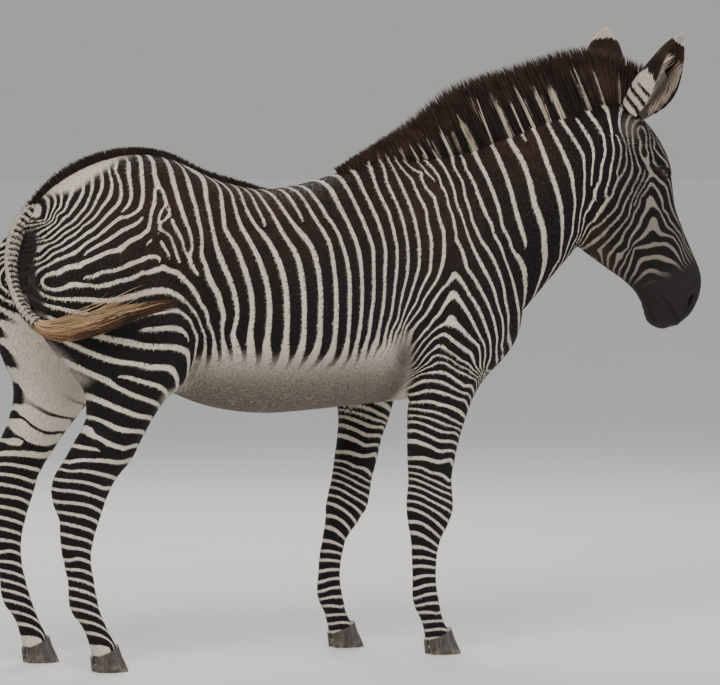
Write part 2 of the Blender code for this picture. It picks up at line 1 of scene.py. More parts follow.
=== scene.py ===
import bpy
import numpy as np
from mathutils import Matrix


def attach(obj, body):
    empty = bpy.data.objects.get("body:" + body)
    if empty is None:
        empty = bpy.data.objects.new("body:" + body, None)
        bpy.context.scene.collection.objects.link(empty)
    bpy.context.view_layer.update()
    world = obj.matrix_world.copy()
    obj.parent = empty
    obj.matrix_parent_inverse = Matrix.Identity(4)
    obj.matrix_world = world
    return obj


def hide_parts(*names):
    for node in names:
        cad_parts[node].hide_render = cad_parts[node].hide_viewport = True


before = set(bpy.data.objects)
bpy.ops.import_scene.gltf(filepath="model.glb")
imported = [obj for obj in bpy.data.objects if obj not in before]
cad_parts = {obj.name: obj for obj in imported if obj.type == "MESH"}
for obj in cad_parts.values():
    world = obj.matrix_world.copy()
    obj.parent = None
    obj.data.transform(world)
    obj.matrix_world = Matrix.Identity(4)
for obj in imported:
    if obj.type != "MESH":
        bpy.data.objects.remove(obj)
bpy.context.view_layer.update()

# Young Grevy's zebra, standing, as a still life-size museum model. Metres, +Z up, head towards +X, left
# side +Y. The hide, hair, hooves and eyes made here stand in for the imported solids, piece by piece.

# ------------------------------------------------------------------------------------------------- hide
# The hide is one skin from the muzzle to the coronets, drawn over a body that is lofted part by part and
# evened out, with the folds, lids, nostrils and sinews worked into it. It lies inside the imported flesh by
# the depth of the short coat that grows on it.

MOVE = np.array((0.1405, 0.0345, 0.0))  # the rows start from the right fore hoof; this centres the animal
COAT_DEPTH = 0.002
MIDDLE = -0.5  # the fore parts lie ahead of this place, the hind parts behind it
GRAIN = 0.0098  # size of the hide's cells on the body; they are halved on the head and again round the eyes
EVENING_ROUNDS = 80

# Trunk: x, top, bottom, height of the widest level, half width, fullness above and below that level
TRUNK = [
    (0.290, 0.935, 0.845, 0.890, 0.030, 2.0, 2.0),
    (0.262, 1.020, 0.770, 0.900, 0.100, 2.0, 2.0),
    (0.180, 1.140, 0.700, 0.880, 0.160, 2.0, 2.0),
    (0.080, 1.230, 0.662, 0.860, 0.185, 1.9, 2.0),
    (-0.050, 1.278, 0.648, 0.840, 0.198, 1.7, 2.1),
    (-0.180, 1.250, 0.640, 0.860, 0.215, 1.8, 2.2),
    (-0.320, 1.212, 0.630, 0.880, 0.240, 2.0, 2.2),
    (-0.450, 1.200, 0.626, 0.890, 0.250, 2.1, 2.2),
    (-0.580, 1.228, 0.645, 0.900, 0.245, 2.1, 2.1),
    (-0.700, 1.279, 0.690, 0.950, 0.225, 1.9, 2.0),
    (-0.800, 1.291, 0.740, 0.990, 0.208, 1.9, 2.0),
    (-0.900, 1.271, 0.780, 1.010, 0.190, 2.0, 2.0),
    (-0.990, 1.230, 0.840, 1.020, 0.165, 2.1, 2.0),
    (-1.055, 1.180, 0.900, 1.030, 0.130, 2.1, 2.0),
    (-1.090, 1.130, 0.950, 1.035, 0.085, 2.0, 2.0),
    (-1.105, 1.080, 0.990, 1.035, 0.030, 2.0, 2.0),
]

# Neck: crest x and z, throat x and z, sideways place, half width
NECK = [
    (-0.130, 1.240, 0.060, 0.740, 0.000, 0.150),
    (0.000, 1.275, 0.215, 0.800, 0.000, 0.138),
    (0.100, 1.285, 0.300, 0.862, 0.004, 0.118),
    (0.220, 1.318, 0.365, 0.925, 0.012, 0.102),
    (0.330, 1.358, 0.430, 0.985, 0.022, 0.090),
    (0.440, 1.395, 0.490, 1.040, 0.032, 0.082),
    (0.540, 1.425, 0.555, 1.095, 0.040, 0.074),
    (0.600, 1.425, 0.610, 1.170, 0.045, 0.066),
]

# Head, along its own line from the poll to the nose: way, top, bottom, widest level, half width, fullness
POLL = np.array((0.622, 0.035, 1.408))
HEAD_PITCH, HEAD_YAW = -60.0, 6.0
HEAD = np.array([
    (-0.030, -0.030, -0.130, -0.080, 0.050, 2.0, 2.0),
    (0.000, 0.005, -0.190, -0.070, 0.070, 2.0, 2.0),
    (0.060, 0.034, -0.258, -0.060, 0.088, 2.1, 2.0),
    (0.120, 0.046, -0.296, -0.050, 0.100, 2.2, 1.9),
    (0.180, 0.041, -0.310, -0.045, 0.106, 2.2, 1.9),
    (0.240, 0.025, -0.306, -0.055, 0.096, 2.1, 1.9),
    (0.300, 0.013, -0.278, -0.065, 0.078, 2.0, 1.9),
    (0.360, 0.008, -0.246, -0.070, 0.064, 2.0, 2.0),
    (0.420, 0.005, -0.214, -0.075, 0.056, 2.0, 2.0),
    (0.470, 0.003, -0.198, -0.085, 0.055, 2.1, 2.1),
    (0.515, -0.004, -0.200, -0.098, 0.057, 2.2, 2.2),
    (0.553, -0.028, -0.196, -0.112, 0.053, 2.2, 2.2),
    (0.582, -0.066, -0.184, -0.126, 0.040, 2.1, 2.1),
    (0.594, -0.098, -0.162, -0.131, 0.018, 2.0, 2.0),
])

# Legs, from above downwards, in millimetres: x, y, z, reach forwards, reach backwards, half width
LEGS = {
    "fore_right": [
        (-30, -75, 1080, 80, 90, 50), (10, -110, 960, 130, 130, 70), (40, -132, 850, 150, 140, 75),
        (45, -142, 765, 125, 120, 74), (20, -145, 700, 95, 95, 68), (1, -143, 655, 88, 88, 60),
        (-10, -140, 604, 81, 79, 55), (-18, -138, 552, 73, 70, 51), (-22, -135, 500, 66, 64, 46),
        (-24, -133, 449, 61, 59, 42), (-25, -131, 390, 67, 62, 44), (-26, -130, 346, 61, 58, 39),
        (-33, -130, 295, 41, 43, 29), (-37, -130, 243, 34, 36, 25), (-37, -130, 190, 32, 34, 25),
        (-31, -130, 135, 34, 37, 30), (-16, -130, 90, 30, 31, 26), (0, -130, 50, 34, 34, 32),
        (10, -130, 10, 34, 34, 32),
    ],
    "fore_left": [
        (-50, 75, 1080, 80, 90, 50), (-20, 110, 960, 130, 130, 70), (0, 132, 850, 150, 140, 75),
        (-5, 142, 765, 125, 120, 74), (-45, 145, 700, 95, 95, 68), (-72, 143, 642, 80, 78, 60),
        (-81, 140, 589, 69, 68, 55), (-95, 138, 538, 62, 60, 50), (-107, 135, 486, 60, 58, 46),
        (-119, 133, 434, 57, 56, 42), (-134, 131, 375, 60, 56, 43), (-147, 130, 331, 48, 46, 38),
        (-168, 130, 285, 34, 34, 28), (-180, 130, 232, 31, 32, 25), (-184, 130, 180, 30, 32, 25),
        (-180, 130, 132, 33, 36, 30), (-166, 130, 90, 30, 31, 26), (-151, 130, 50, 34, 34, 32),
        (-141, 130, 10, 34, 34, 32),
    ],
    "hind_right": [
        (-880, -80, 1160, 120, 120, 60), (-900, -110, 1050, 190, 200, 95), (-905, -125, 950, 215, 225, 105),
        (-890, -138, 850, 205, 210, 108), (-872, -148, 770, 165, 170, 102), (-868, -150, 716, 132, 130, 92),
        (-882, -150, 679, 102, 104, 84), (-900, -150, 630, 85, 88, 74), (-928, -150, 581, 85, 88, 66),
        (-955, -146, 531, 88, 92, 57), (-985, -142, 485, 80, 90, 48), (-1001, -140, 435, 70, 76, 44),
        (-1004, -140, 383, 54, 54, 36), (-1010, -140, 333, 44, 46, 30), (-1010, -140, 283, 37, 38, 27),
        (-1000, -140, 232, 34, 36, 27), (-988, -140, 160, 36, 40, 31), (-962, -140, 110, 31, 32, 27),
        (-940, -140, 60, 34, 34, 33), (-928, -140, 10, 34, 34, 33),
    ],
    "hind_left": [
        (-890, 80, 1160, 120, 120, 60), (-915, 110, 1050, 190, 200, 95), (-925, 125, 950, 210, 220, 105),
        (-920, 138, 850, 195, 200, 108), (-915, 148, 770, 155, 172, 102), (-925, 152, 716, 122, 136, 92),
        (-945, 152, 670, 98, 112, 84), (-975, 152, 622, 84, 94, 74), (-1010, 150, 575, 80, 80, 66),
        (-1040, 146, 531, 78, 80, 57), (-1060, 142, 485, 66, 78, 48), (-1070, 140, 435, 58, 62, 42),
        (-1075, 140, 383, 46, 48, 34), (-1080, 140, 333, 38, 40, 29), (-1080, 140, 283, 34, 36, 26),
        (-1070, 140, 225, 33, 35, 26), (-1055, 140, 160, 36, 40, 31), (-1030, 140, 110, 31, 32, 27),
        (-1010, 140, 60, 34, 34, 33), (-998, 140, 10, 34, 34, 33),
    ],
}
LEGS = {name: np.array(rows) / 1000 for name, rows in LEGS.items()}

# Swells and hollows of muscle and bone on both sides: middle, reach along x, y and z, height
SWELLS = [
    ((0.120, 0.190, 0.880), (0.100, 0.080, 0.110), 0.012),  # point of the shoulder
    ((0.010, 0.190, 1.050), (0.060, 0.080, 0.160), 0.010),  # shoulder blade
    ((-0.110, 0.210, 0.980), (0.050, 0.080, 0.160), -0.008),  # hollow behind it
    ((0.000, 0.190, 0.740), (0.060, 0.060, 0.060), 0.008),  # elbow
    ((-0.700, 0.230, 1.090), (0.070, 0.080, 0.060), 0.012),  # hip bone
    ((-0.640, 0.230, 0.930), (0.070, 0.080, 0.120), -0.012),  # flank
    ((-0.770, 0.230, 0.790), (0.070, 0.070, 0.080), 0.012),  # stifle
    ((-1.060, 0.130, 1.000), (0.060, 0.080, 0.120), 0.010),  # point of the buttock
    ((-0.950, 0.200, 1.080), (0.060, 0.060, 0.060), -0.006),
]
# Finer forms that only the hide has
SINEWS = [
    ((0.045, 0.160, 1.120), (0.014, 0.080, 0.120), -0.004),  # in front of the shoulder blade
    ((-0.045, 0.200, 0.820), (0.016, 0.060, 0.060), -0.005),  # behind the upper arm
    ((0.070, 0.200, 0.780), (0.022, 0.060, 0.050), 0.004),
    ((-0.690, 0.210, 0.720), (0.030, 0.060, 0.030), -0.006),  # fold of the flank
    ((-0.860, 0.240, 0.840), (0.016, 0.060, 0.130), -0.004),  # between the thigh's muscles
    ((-0.940, 0.230, 0.900), (0.030, 0.060, 0.120), 0.004),
    ((-0.995, 0.200, 0.900), (0.012, 0.060, 0.120), -0.004),
    ((0.265, 0.030, 0.880), (0.060, 0.016, 0.090), -0.005),  # between the breast muscles
    ((-0.970, 0.200, 0.600), (0.014, 0.050, 0.050), -0.004),  # in front of the hamstring
]
RIBS = (-0.58, -0.16, 0.062, 0.0011)  # from x, to x, spacing, height


def between(rows, steps):
    """Rows read from a smooth curve (Catmull-Rom) through the given rows, `steps` to each gap."""
    rows = np.asarray(rows, float)
    ends = np.vstack([2 * rows[0] - rows[1], rows, 2 * rows[-1] - rows[-2]])
    t = np.linspace(0, len(rows) - 1, (len(rows) - 1) * steps + 1)
    i = np.minimum(t.astype(int), len(rows) - 2)
    u = (t - i)[:, None]
    a, b, c, d = (ends[i + k] for k in range(4))
    return b + 0.5 * u * (c - a + u * (2 * a - 5 * b + 4 * c - d + u * (3 * (b - c) + d - a)))


def directions(pitch, yaw):
    """Unit vectors ahead, to the left and upwards of a line with this pitch and yaw, in degrees."""
    p, q = np.radians(pitch), np.radians(yaw)
    ahead = np.stack([np.cos(p) * np.cos(q), np.cos(p) * np.sin(q), np.sin(p)], -1)
    left = np.stack([-np.sin(q), np.cos(q), 0 * q], -1)
    return ahead, left, np.cross(ahead, left)


def tube(rows, steps=6, sides=40):
    """Closed tube of rings. Row: x, y, z, pitch, yaw, reach up, reach down, half width, fullness up, down.

    A ring's point at angle a lies half width * cos(a)^(2/fullness) to the left of the row's middle and
    reach * sin(a)^(2/fullness) above it, with signs kept, so that fullness 2 is an ellipse.
    """
    r = between(rows, steps)
    _, left, upward = directions(r[:, 3], r[:, 4])
    angle = np.linspace(0, 2 * np.pi, sides, endpoint=False)
    cosine, sine = np.cos(angle)[None], np.sin(angle)[None]
    fullness = np.where(sine >= 0, r[:, 8:9], r[:, 9:10])
    reach = np.where(sine >= 0, r[:, 5:6], r[:, 6:7])
    across = r[:, 7:8] * np.sign(cosine) * np.abs(cosine) ** (2 / fullness)
    up = reach * np.sign(sine) * np.abs(sine) ** (2 / fullness)
    rings = r[:, None, :3] + across[..., None] * left[:, None] + up[..., None] * upward[:, None]
    return rings.reshape(-1, 3), rolled(len(r), sides)


def rolled(rings, sides):
    """Faces of a closed tube of rings: quads between the rings, and one flat face on each end."""
    ring, place = np.divmod(np.arange((rings - 1) * sides), sides)
    here, beside = ring * sides + place, ring * sides + (place + 1) % sides
    walls = np.stack([here, here + sides, beside + sides, beside], 1)
    first = np.arange(sides)[None]
    last = (rings - 1) * sides + np.arange(sides)[::-1][None]
    return [walls, first, last]


def make_mesh(name, points, faces):
    """Mesh from an array of points and a list of face arrays, one array for each number of corners."""
    counts = np.concatenate([np.full(len(kind), len(kind[0])) for kind in faces if len(kind)])
    corners = np.concatenate([np.asarray(kind).ravel() for kind in faces if len(kind)])
    mesh = bpy.data.meshes.new(name)
    mesh.vertices.add(len(points))
    mesh.vertices.foreach_set("co", np.asarray(points, np.float32).ravel())
    mesh.loops.add(len(corners))
    mesh.loops.foreach_set("vertex_index", corners.astype(np.int32))
    mesh.polygons.add(len(counts))
    mesh.polygons.foreach_set("loop_start", (np.cumsum(counts) - counts).astype(np.int32))
    mesh.update(calc_edges=True)
    mesh.shade_smooth()
    return mesh


def outward(points, faces):
    """The same faces, turned round if together they enclose a negative volume."""
    volume = 0.0
    for kind in faces:
        for k in range(1, kind.shape[1] - 1):
            a, b, c = points[kind[:, 0]], points[kind[:, k]], points[kind[:, k + 1]]
            volume += np.einsum("ij,ij", a, np.cross(b, c))
    return [kind[:, ::-1] for kind in faces] if volume < 0 else faces


def joined(shells):
    """One set of points and faces from several."""
    start, points, faces = 0, [], []
    for shell_points, shell_faces in shells:
        points.append(shell_points)
        faces += [kind + start for kind in shell_faces]
        start += len(shell_points)
    return np.vstack(points), faces


def in_scene(name, data):
    """New object with this data, put in the scene."""
    obj = bpy.data.objects.new(name, data)
    bpy.context.scene.collection.objects.link(obj)
    return obj


def piece(name, points, faces):
    """A piece of the animal, moved to its place, that rides with the body."""
    obj = in_scene(name, make_mesh(name, points + MOVE, faces))
    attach(obj, "root")
    return obj


def smooth(low, high, value):
    """0 below low, 1 above high and an S-curve between; low may be the larger."""
    t = np.clip((value - low) / (high - low), 0, 1)
    return t * t * (3 - 2 * t)


def mixed(a, b, share):
    """a where the share is 0, b where it is 1."""
    return a + (b - a) * share


def trunk_rows():
    """The trunk's rows in the tube's columns."""
    return [(x, 0, wide, 0, 0, top - wide, wide - low, half, high_fullness, low_fullness)
            for x, top, low, wide, half, high_fullness, low_fullness in TRUNK]


def neck_rows():
    """Each section spans from the throat to the crest and is square to the line between them."""
    crest_x, crest_z, throat_x, throat_z, side, half = np.array(NECK).T
    reach = np.hypot(crest_x - throat_x, crest_z - throat_z) / 2
    pitch = np.degrees(np.arctan2(throat_x - crest_x, crest_z - throat_z))
    one = np.ones(len(side))
    return np.stack([(crest_x + throat_x) / 2, side, (crest_z + throat_z) / 2, pitch, 0 * one,
                     reach, reach, half, 1.8 * one, 2.2 * one], 1)


AHEAD, LEFT, UPWARD = directions(np.float64(HEAD_PITCH), np.float64(HEAD_YAW))


def head_point(way, side, level):
    """Place on the head: way along it from the poll, side to the left, level above its line."""
    way, side, level = (np.asarray(value, float)[..., None] for value in (way, side, level))
    return POLL + way * AHEAD + side * LEFT + level * UPWARD


def head_place(points):
    """Way, side and level on the head of each point."""
    from_poll = points - POLL
    return from_poll @ AHEAD, from_poll @ LEFT, from_poll @ UPWARD


def head_rows():
    """The head's rows in the tube's columns, square to its own line."""
    return [(*head_point(way, 0, wide), HEAD_PITCH, HEAD_YAW, top - wide, wide - low, half, high, deep)
            for way, top, low, wide, half, high, deep in HEAD]


def leg_rows(rows):
    """A leg's rows in the tube's columns, looking straight down."""
    return [(x, y, z, -90, 0, front, back, half, 2.1, 2.0) for x, y, z, front, back, half in rows]


def values_of(items, name, kind, width=1):
    """Every value with this name of a mesh's points, edges, corners or faces, in one row."""
    values = np.empty(len(items) * width, kind)
    items.foreach_get(name, values)
    return values


def sums_at(owners, values, count):
    """For each of count owners, the sum of the three-part values that it owns."""
    return np.stack([np.bincount(owners, values[:, axis], count) for axis in range(3)], 1)


def relax(points, edges, rounds):
    """Evens the surface without shrinking it: each round moves points to their neighbours' mean and back."""
    count = len(points)
    a, b = edges.T
    degree = (np.bincount(a, minlength=count) + np.bincount(b, minlength=count))[:, None]
    for share in (0.5, -0.53) * rounds:
        total = sums_at(a, points[b], count) + sums_at(b, points[a], count)
        points = points + share * (total / degree - points)
    return points


def normals_of(points, quads):
    """Normal of each point, from the diagonals' cross products of the quads round it."""
    a, b, c, d = (points[quads[:, k]] for k in range(4))
    total = sums_at(quads.ravel(), np.repeat(np.cross(c - a, d - b), 4, 0), len(points))
    return total / np.maximum(np.linalg.norm(total, axis=1, keepdims=True), 1e-12)


def rise_of(points, rows):
    """Height times a bell of the distance from each row's middle, summed over the rows, on both sides."""
    either_side = np.stack([points[:, 0], np.abs(points[:, 1]), points[:, 2]], 1)
    rise = np.zeros(len(points))
    for middle, reach, height in rows:
        rise += height * np.exp(-(((either_side - middle) / reach) ** 2).sum(1))
    return rise


def refine(points, quads, others, chosen):
    """Splits the chosen quads in four with Catmull-Clark's rule: middles at the corners' mean, edge points
    at the mean of both ends and both middles beside them, old points at (F + 2R + (n - 3) P) / n. A quad
    beside them takes in the new edge points and so gets more corners."""
    count = len(points)
    ends = np.sort(np.stack([quads, np.roll(quads, -1, 1)], 2), 2)
    keys, edge = np.unique(ends[..., 0] * np.int64(count) + ends[..., 1], return_inverse=True)
    edge = edge.reshape(-1, 4)
    a, b = np.divmod(keys, count)
    middles = points[quads].mean(1)
    halfway = (points[a] + points[b]) / 2
    faces_by = np.bincount(edge.ravel(), minlength=len(keys))[:, None]
    beside = sums_at(edge.ravel(), np.repeat(middles, 4, 0), len(keys))
    edge_points = np.where(faces_by == 2, (2 * halfway + beside) / 4, halfway)
    split = np.zeros(len(keys), bool)
    split[edge[chosen].ravel()] = True
    valence = np.bincount(quads.ravel(), minlength=count)
    inner = np.bincount(quads[chosen].ravel(), minlength=count) == np.maximum(valence, 1)
    n = np.maximum(valence, 1)[:, None]
    mean_middle = sums_at(quads.ravel(), np.repeat(middles, 4, 0), count) / n
    both_ends = np.r_[a, b]
    degree = np.maximum(np.bincount(both_ends, minlength=count), 1)[:, None]
    mean_edge = sums_at(both_ends, np.r_[halfway, halfway], count) / degree
    rounded = (mean_middle + 2 * mean_edge + (n - 3) * points) / n
    kept = np.where(inner[:, None], rounded, points)
    edge_number = count + np.cumsum(split) - 1
    middle_number = count + split.sum() + np.cumsum(chosen) - 1
    new_points = np.vstack([kept, edge_points[split], middles[chosen]])
    corner, side = quads[chosen], edge_number[edge[chosen]]
    centre = middle_number[chosen]
    small = [np.stack([corner[:, k], side[:, k], centre, side[:, k - 1]], 1) for k in range(4)]
    edged = ~chosen & split[edge].any(1)
    border = []
    for face, sides in zip(quads[edged], edge[edged]):
        ring = []
        for k in range(4):
            ring.append(int(face[k]))
            if split[sides[k]]:
                ring.append(int(edge_number[sides[k]]))
        border.append(np.array([ring]))
    return new_points, np.vstack([quads[~chosen & ~edged]] + small), others + border


def make_body():
    """The lofts of all parts as one closed body of quads, evened out, with its muscles."""
    shells = [tube(trunk_rows()), tube(neck_rows()), tube(head_rows())]
    shells += [tube(leg_rows(rows), sides=32) for rows in LEGS.values()]
    points, faces = joined([(p, outward(p, f)) for p, f in shells])
    body = in_scene("body", make_mesh("body", points, faces))
    remesh = body.modifiers.new("Remesh", "REMESH")
    remesh.mode = "VOXEL"
    remesh.voxel_size = GRAIN
    graph = bpy.context.evaluated_depsgraph_get()
    mesh = bpy.data.meshes.new_from_object(body.evaluated_get(graph))
    points = values_of(mesh.vertices, "co", np.float32, 3).reshape(-1, 3).astype(float)
    edges = values_of(mesh.edges, "vertices", np.int32, 2).reshape(-1, 2)
    quads = values_of(mesh.loops, "vertex_index", np.int32).reshape(-1, 4).astype(np.int64)
    bpy.data.objects.remove(body)
    points = relax(points, edges, EVENING_ROUNDS)
    return points + normals_of(points, quads) * rise_of(points, SWELLS)[:, None], quads


# Eye, in way, side and level on the head, and the ways its outward, long and brow-ward axes point there
EYE = np.array((0.186, 0.0870, -0.028))
EYE_OUT = np.array((0.050, 0.950, 0.250)) / np.linalg.norm((0.050, 0.950, 0.250))
EYE_LONG = np.array((0.866, -0.177, 0.500))
EYE_LONG = EYE_LONG - EYE_LONG @ EYE_OUT * EYE_OUT
EYE_LONG = EYE_LONG / np.linalg.norm(EYE_LONG)
EYE_BROW = np.cross(EYE_LONG, EYE_OUT)
EYE_SIZE = np.array((0.0245, 0.0210, 0.0195))  # half sizes of the eyeball: long, towards the brow, outward
EYE_SLIT = (0.0170, 0.0088)  # half length and half height of the opening between the lids
LID = 0.0034  # thickness of a lid
NOSTRIL = np.array((0.547, 0.040, -0.090))
NOSTRIL_LONG, NOSTRIL_WIDE = np.array((0.60, 0.0, -0.80)), np.array((0.80, 0.0, 0.60))
NOSTRIL_SIZE = (0.020, 0.0095)
MOUTH = (0.602, -0.148, 0.484, -0.163)  # from way and level at the front to those at the corner
NECK_CUT, NECK_CUT_WAY = (0.548, 0, 1.235), (0.970, 0, -0.242)  # where the head begins, and the way it looks


def sided(points):
    """Way, side and level on the head, with the side counted outwards on both sides."""
    way, side, level = head_place(points)
    return np.stack([way, np.abs(side), level], 1)


def eye_place(place):
    """Along the slit, towards the brow and outward from the eyeball's middle, and how far out of the slit:
    1 on the lids' edge, from (|along| / half length)^1.6 + (|across| / half height)^1.6."""
    off = place - EYE
    along, across, out = off @ EYE_LONG, off @ EYE_BROW, off @ EYE_OUT
    ring = (np.abs(along / EYE_SLIT[0]) ** 1.6 + np.abs(across / EYE_SLIT[1]) ** 1.6) ** (1 / 1.6)
    return along, across, out, ring


def eyeball_height(along, across, grown):
    """How far out of its middle the eyeball, grown by this much, reaches there."""
    long, tall, out = (size + grown for size in EYE_SIZE)
    return out * np.sqrt(np.maximum(1 - (along / long) ** 2 - (across / tall) ** 2, 0))


def nostril_place(place):
    """Along the nostril, and how far out of it: 1 on the rim of an ellipse that is bent along its length."""
    off = place - NOSTRIL
    along = off @ NOSTRIL_LONG
    across = off @ NOSTRIL_WIDE - 12 * along ** 2
    return along, np.sqrt((along / NOSTRIL_SIZE[0]) ** 2 + (across / NOSTRIL_SIZE[1]) ** 2)


def mouth_gap(place):
    """Height over the line of the mouth, and 1 along that line, 0 behind its corner."""
    front_way, front_level, corner_way, corner_level = MOUTH
    share = (front_way - place[:, 0]) / (front_way - corner_way)
    level = front_level + (corner_level - front_level) * share + 0.004 * np.sin(np.pi * np.clip(share, 0, 1))
    return place[:, 2] - level, smooth(1.06, 0.90, share)


def bell(value):
    """1 at 0, falling off as e^(-value^2)."""
    return np.exp(-value ** 2)


def work_head(points, normals):
    """Lids, brow, nostrils, mouth, cheek and facial ridge, as moves of the head's points."""
    place = sided(points)
    way, side, level = place.T
    along, across, out, ring = eye_place(place)
    near_eye = (np.abs(along) < 0.06) & (np.abs(across) < 0.06) & (out > -0.01)
    lift = np.zeros(len(points))
    lift += 0.0045 * bell(along / 0.030) * bell((across - 0.027) / 0.011)  # brow
    lift -= 0.0016 * bell((across - 0.0185 + 18 * along ** 2) / 0.0018) * bell(along / 0.020)
    lift -= 0.0011 * bell((across + 0.0165 - 18 * along ** 2) / 0.0018) * bell(along / 0.018)
    lift -= 0.0010 * bell((across + 0.0225 - 14 * along ** 2) / 0.0020) * bell(along / 0.018)
    lift *= near_eye
    temple = bell((way - 0.118) / 0.022)
    lift -= 0.0045 * temple * bell((level - 0.012) / 0.016) * bell((side - 0.06) / 0.03)
    ridge = -0.088 - 0.10 * (way - 0.22)
    lift += 0.0045 * bell((level - ridge) / 0.009) * smooth(0.200, 0.250, way) * smooth(0.390, 0.320, way)
    lift -= 0.0030 * bell((level - ridge + 0.024) / 0.012) * smooth(0.240, 0.290, way) \
        * smooth(0.430, 0.350, way)
    cheek = np.hypot(way - 0.165, level + 0.195)
    lift += 0.0055 * smooth(0.092, 0.066, cheek) * smooth(0.03, 0.06, side)
    lift += 0.0060 * bell(np.hypot(way - 0.028, level + 0.010) / 0.034) * smooth(0.02, 0.05, side)
    bone = 0.012 - 0.05 * (way - 0.25)
    lift -= 0.0028 * bell((side - 0.036) / 0.012) * bell((level - bone + 0.02) / 0.02) \
        * smooth(0.22, 0.28, way) * smooth(0.47, 0.40, way)
    nose_along, hole = nostril_place(place)
    open_nose = (side > 0.012) & (np.abs(nose_along) < 0.05)
    lift += open_nose * (0.0035 * bell((hole - 1.45) / 0.36) - 0.016 * smooth(1.05, 0.35, hole))
    over, within = mouth_gap(place)
    lift -= within * (0.0045 * bell(over / 0.0022)
                      + 0.0030 * smooth(0.0, -0.010, over) * smooth(-0.05, -0.02, over))
    lift += 0.0016 * within * bell((over - 0.007) / 0.005)
    lift += 0.0060 * bell((way - 0.548) / 0.022) * bell((level + 0.192) / 0.016) * smooth(0.05, 0.02, side)
    front = way > -0.06
    points = points + normals * (lift * front)[:, None]
    # the lids lie on the eyeball; inside the slit the hide dips under it
    place = sided(points)
    along, across, out, ring = eye_place(place)
    near_eye &= (out > 0) & (ring < 2.4)
    lid = np.maximum(eyeball_height(along, across, 0.0006 + LID * smooth(1.0, 1.5, ring)), out - 0.005)
    lid = mixed(out, lid, smooth(2.3, 1.35, ring))
    under = np.minimum(eyeball_height(along, across, -0.003), lid - 0.002)
    wanted = np.where(ring < 1, under, lid)
    sign = np.sign(head_place(points)[1])
    outward_way = EYE_OUT[0] * AHEAD + sign[:, None] * EYE_OUT[1] * LEFT + EYE_OUT[2] * UPWARD
    return points + outward_way * (np.where(near_eye, wanted - out, 0))[:, None]


def beyond_neck(points):
    """How far each point lies beyond the cut between the neck and the head."""
    return (points - NECK_CUT) @ NECK_CUT_WAY


def head_share(points):
    """1 on the head, 0 on the neck, changing over the cut between them."""
    return smooth(-0.03, 0.03, beyond_neck(points))


def leg_row(rows, z):
    """A leg's row of sizes at each height."""
    upward = rows[::-1]
    return np.stack([np.interp(z, upward[:, 2], upward[:, k]) for k in range(6)], 1)


def make_hide():
    """Body, refined on the head, round the muzzle and round the eyes, with the finer forms worked in."""
    points, quads = make_body()
    others = []
    for level in range(3):
        middles = points[quads].mean(1)
        place = sided(middles)
        from_eye = np.where(middles[:, 0] > 0.5, np.linalg.norm(place - EYE, axis=1), 1)
        if level == 0:
            chosen = (beyond_neck(middles) > 0.002) & (place[:, 0] > -0.06)
        elif level == 1:
            chosen = (place[:, 0] > 0.480) | (from_eye < 0.050)
        else:
            chosen = (from_eye < 0.034) & (eye_place(place)[3] < 2.1)
        points, quads, others = refine(points, quads, others, chosen)
    normals = normals_of(points, quads)
    lift = rise_of(points, SINEWS)
    x, y, z = points.T
    start, end, spacing, height = RIBS
    rib = np.cos(2 * np.pi * (x + 0.25 * (z - 0.9) - start) / spacing)
    lift += height * rib * smooth(start, start + 0.1, x) * smooth(end, end - 0.1, x) \
        * bell((z - 0.90) / 0.14) * smooth(0.12, 0.18, np.abs(y))
    for name, rows in LEGS.items():
        row = leg_row(rows, z)
        on_leg = (np.sign(y) == np.sign(rows[0, 1])) & (np.abs(x - row[:, 0]) < 0.12) & (z < 0.5)
        back = 0.006 if "fore" in name else 0.012
        tendon = bell((x - row[:, 0] + 0.3 * row[:, 4]) / back)
        low, high = (0.150, 0.275) if "fore" in name else (0.190, 0.350)
        lift -= on_leg * 0.0026 * tendon * smooth(low - 0.02, low + 0.02, z) \
            * smooth(high + 0.02, high - 0.02, z)
        knee = {"fore_right": 0.345, "fore_left": 0.335}.get(name, 0.470)
        in_front = bell((x - row[:, 0] - 0.5 * row[:, 3]) / 0.03)
        lift += on_leg * 0.0022 * bell((z - knee - 0.028) / 0.012) * in_front
        lift -= on_leg * 0.0022 * bell((z - knee) / 0.010) * in_front
    points = points + normals * lift[:, None]
    on_head = (head_share(points) > 0)[:, None]
    points = np.where(on_head, work_head(points, normals), points)
    return points - normals_of(points, quads) * COAT_DEPTH, quads, others


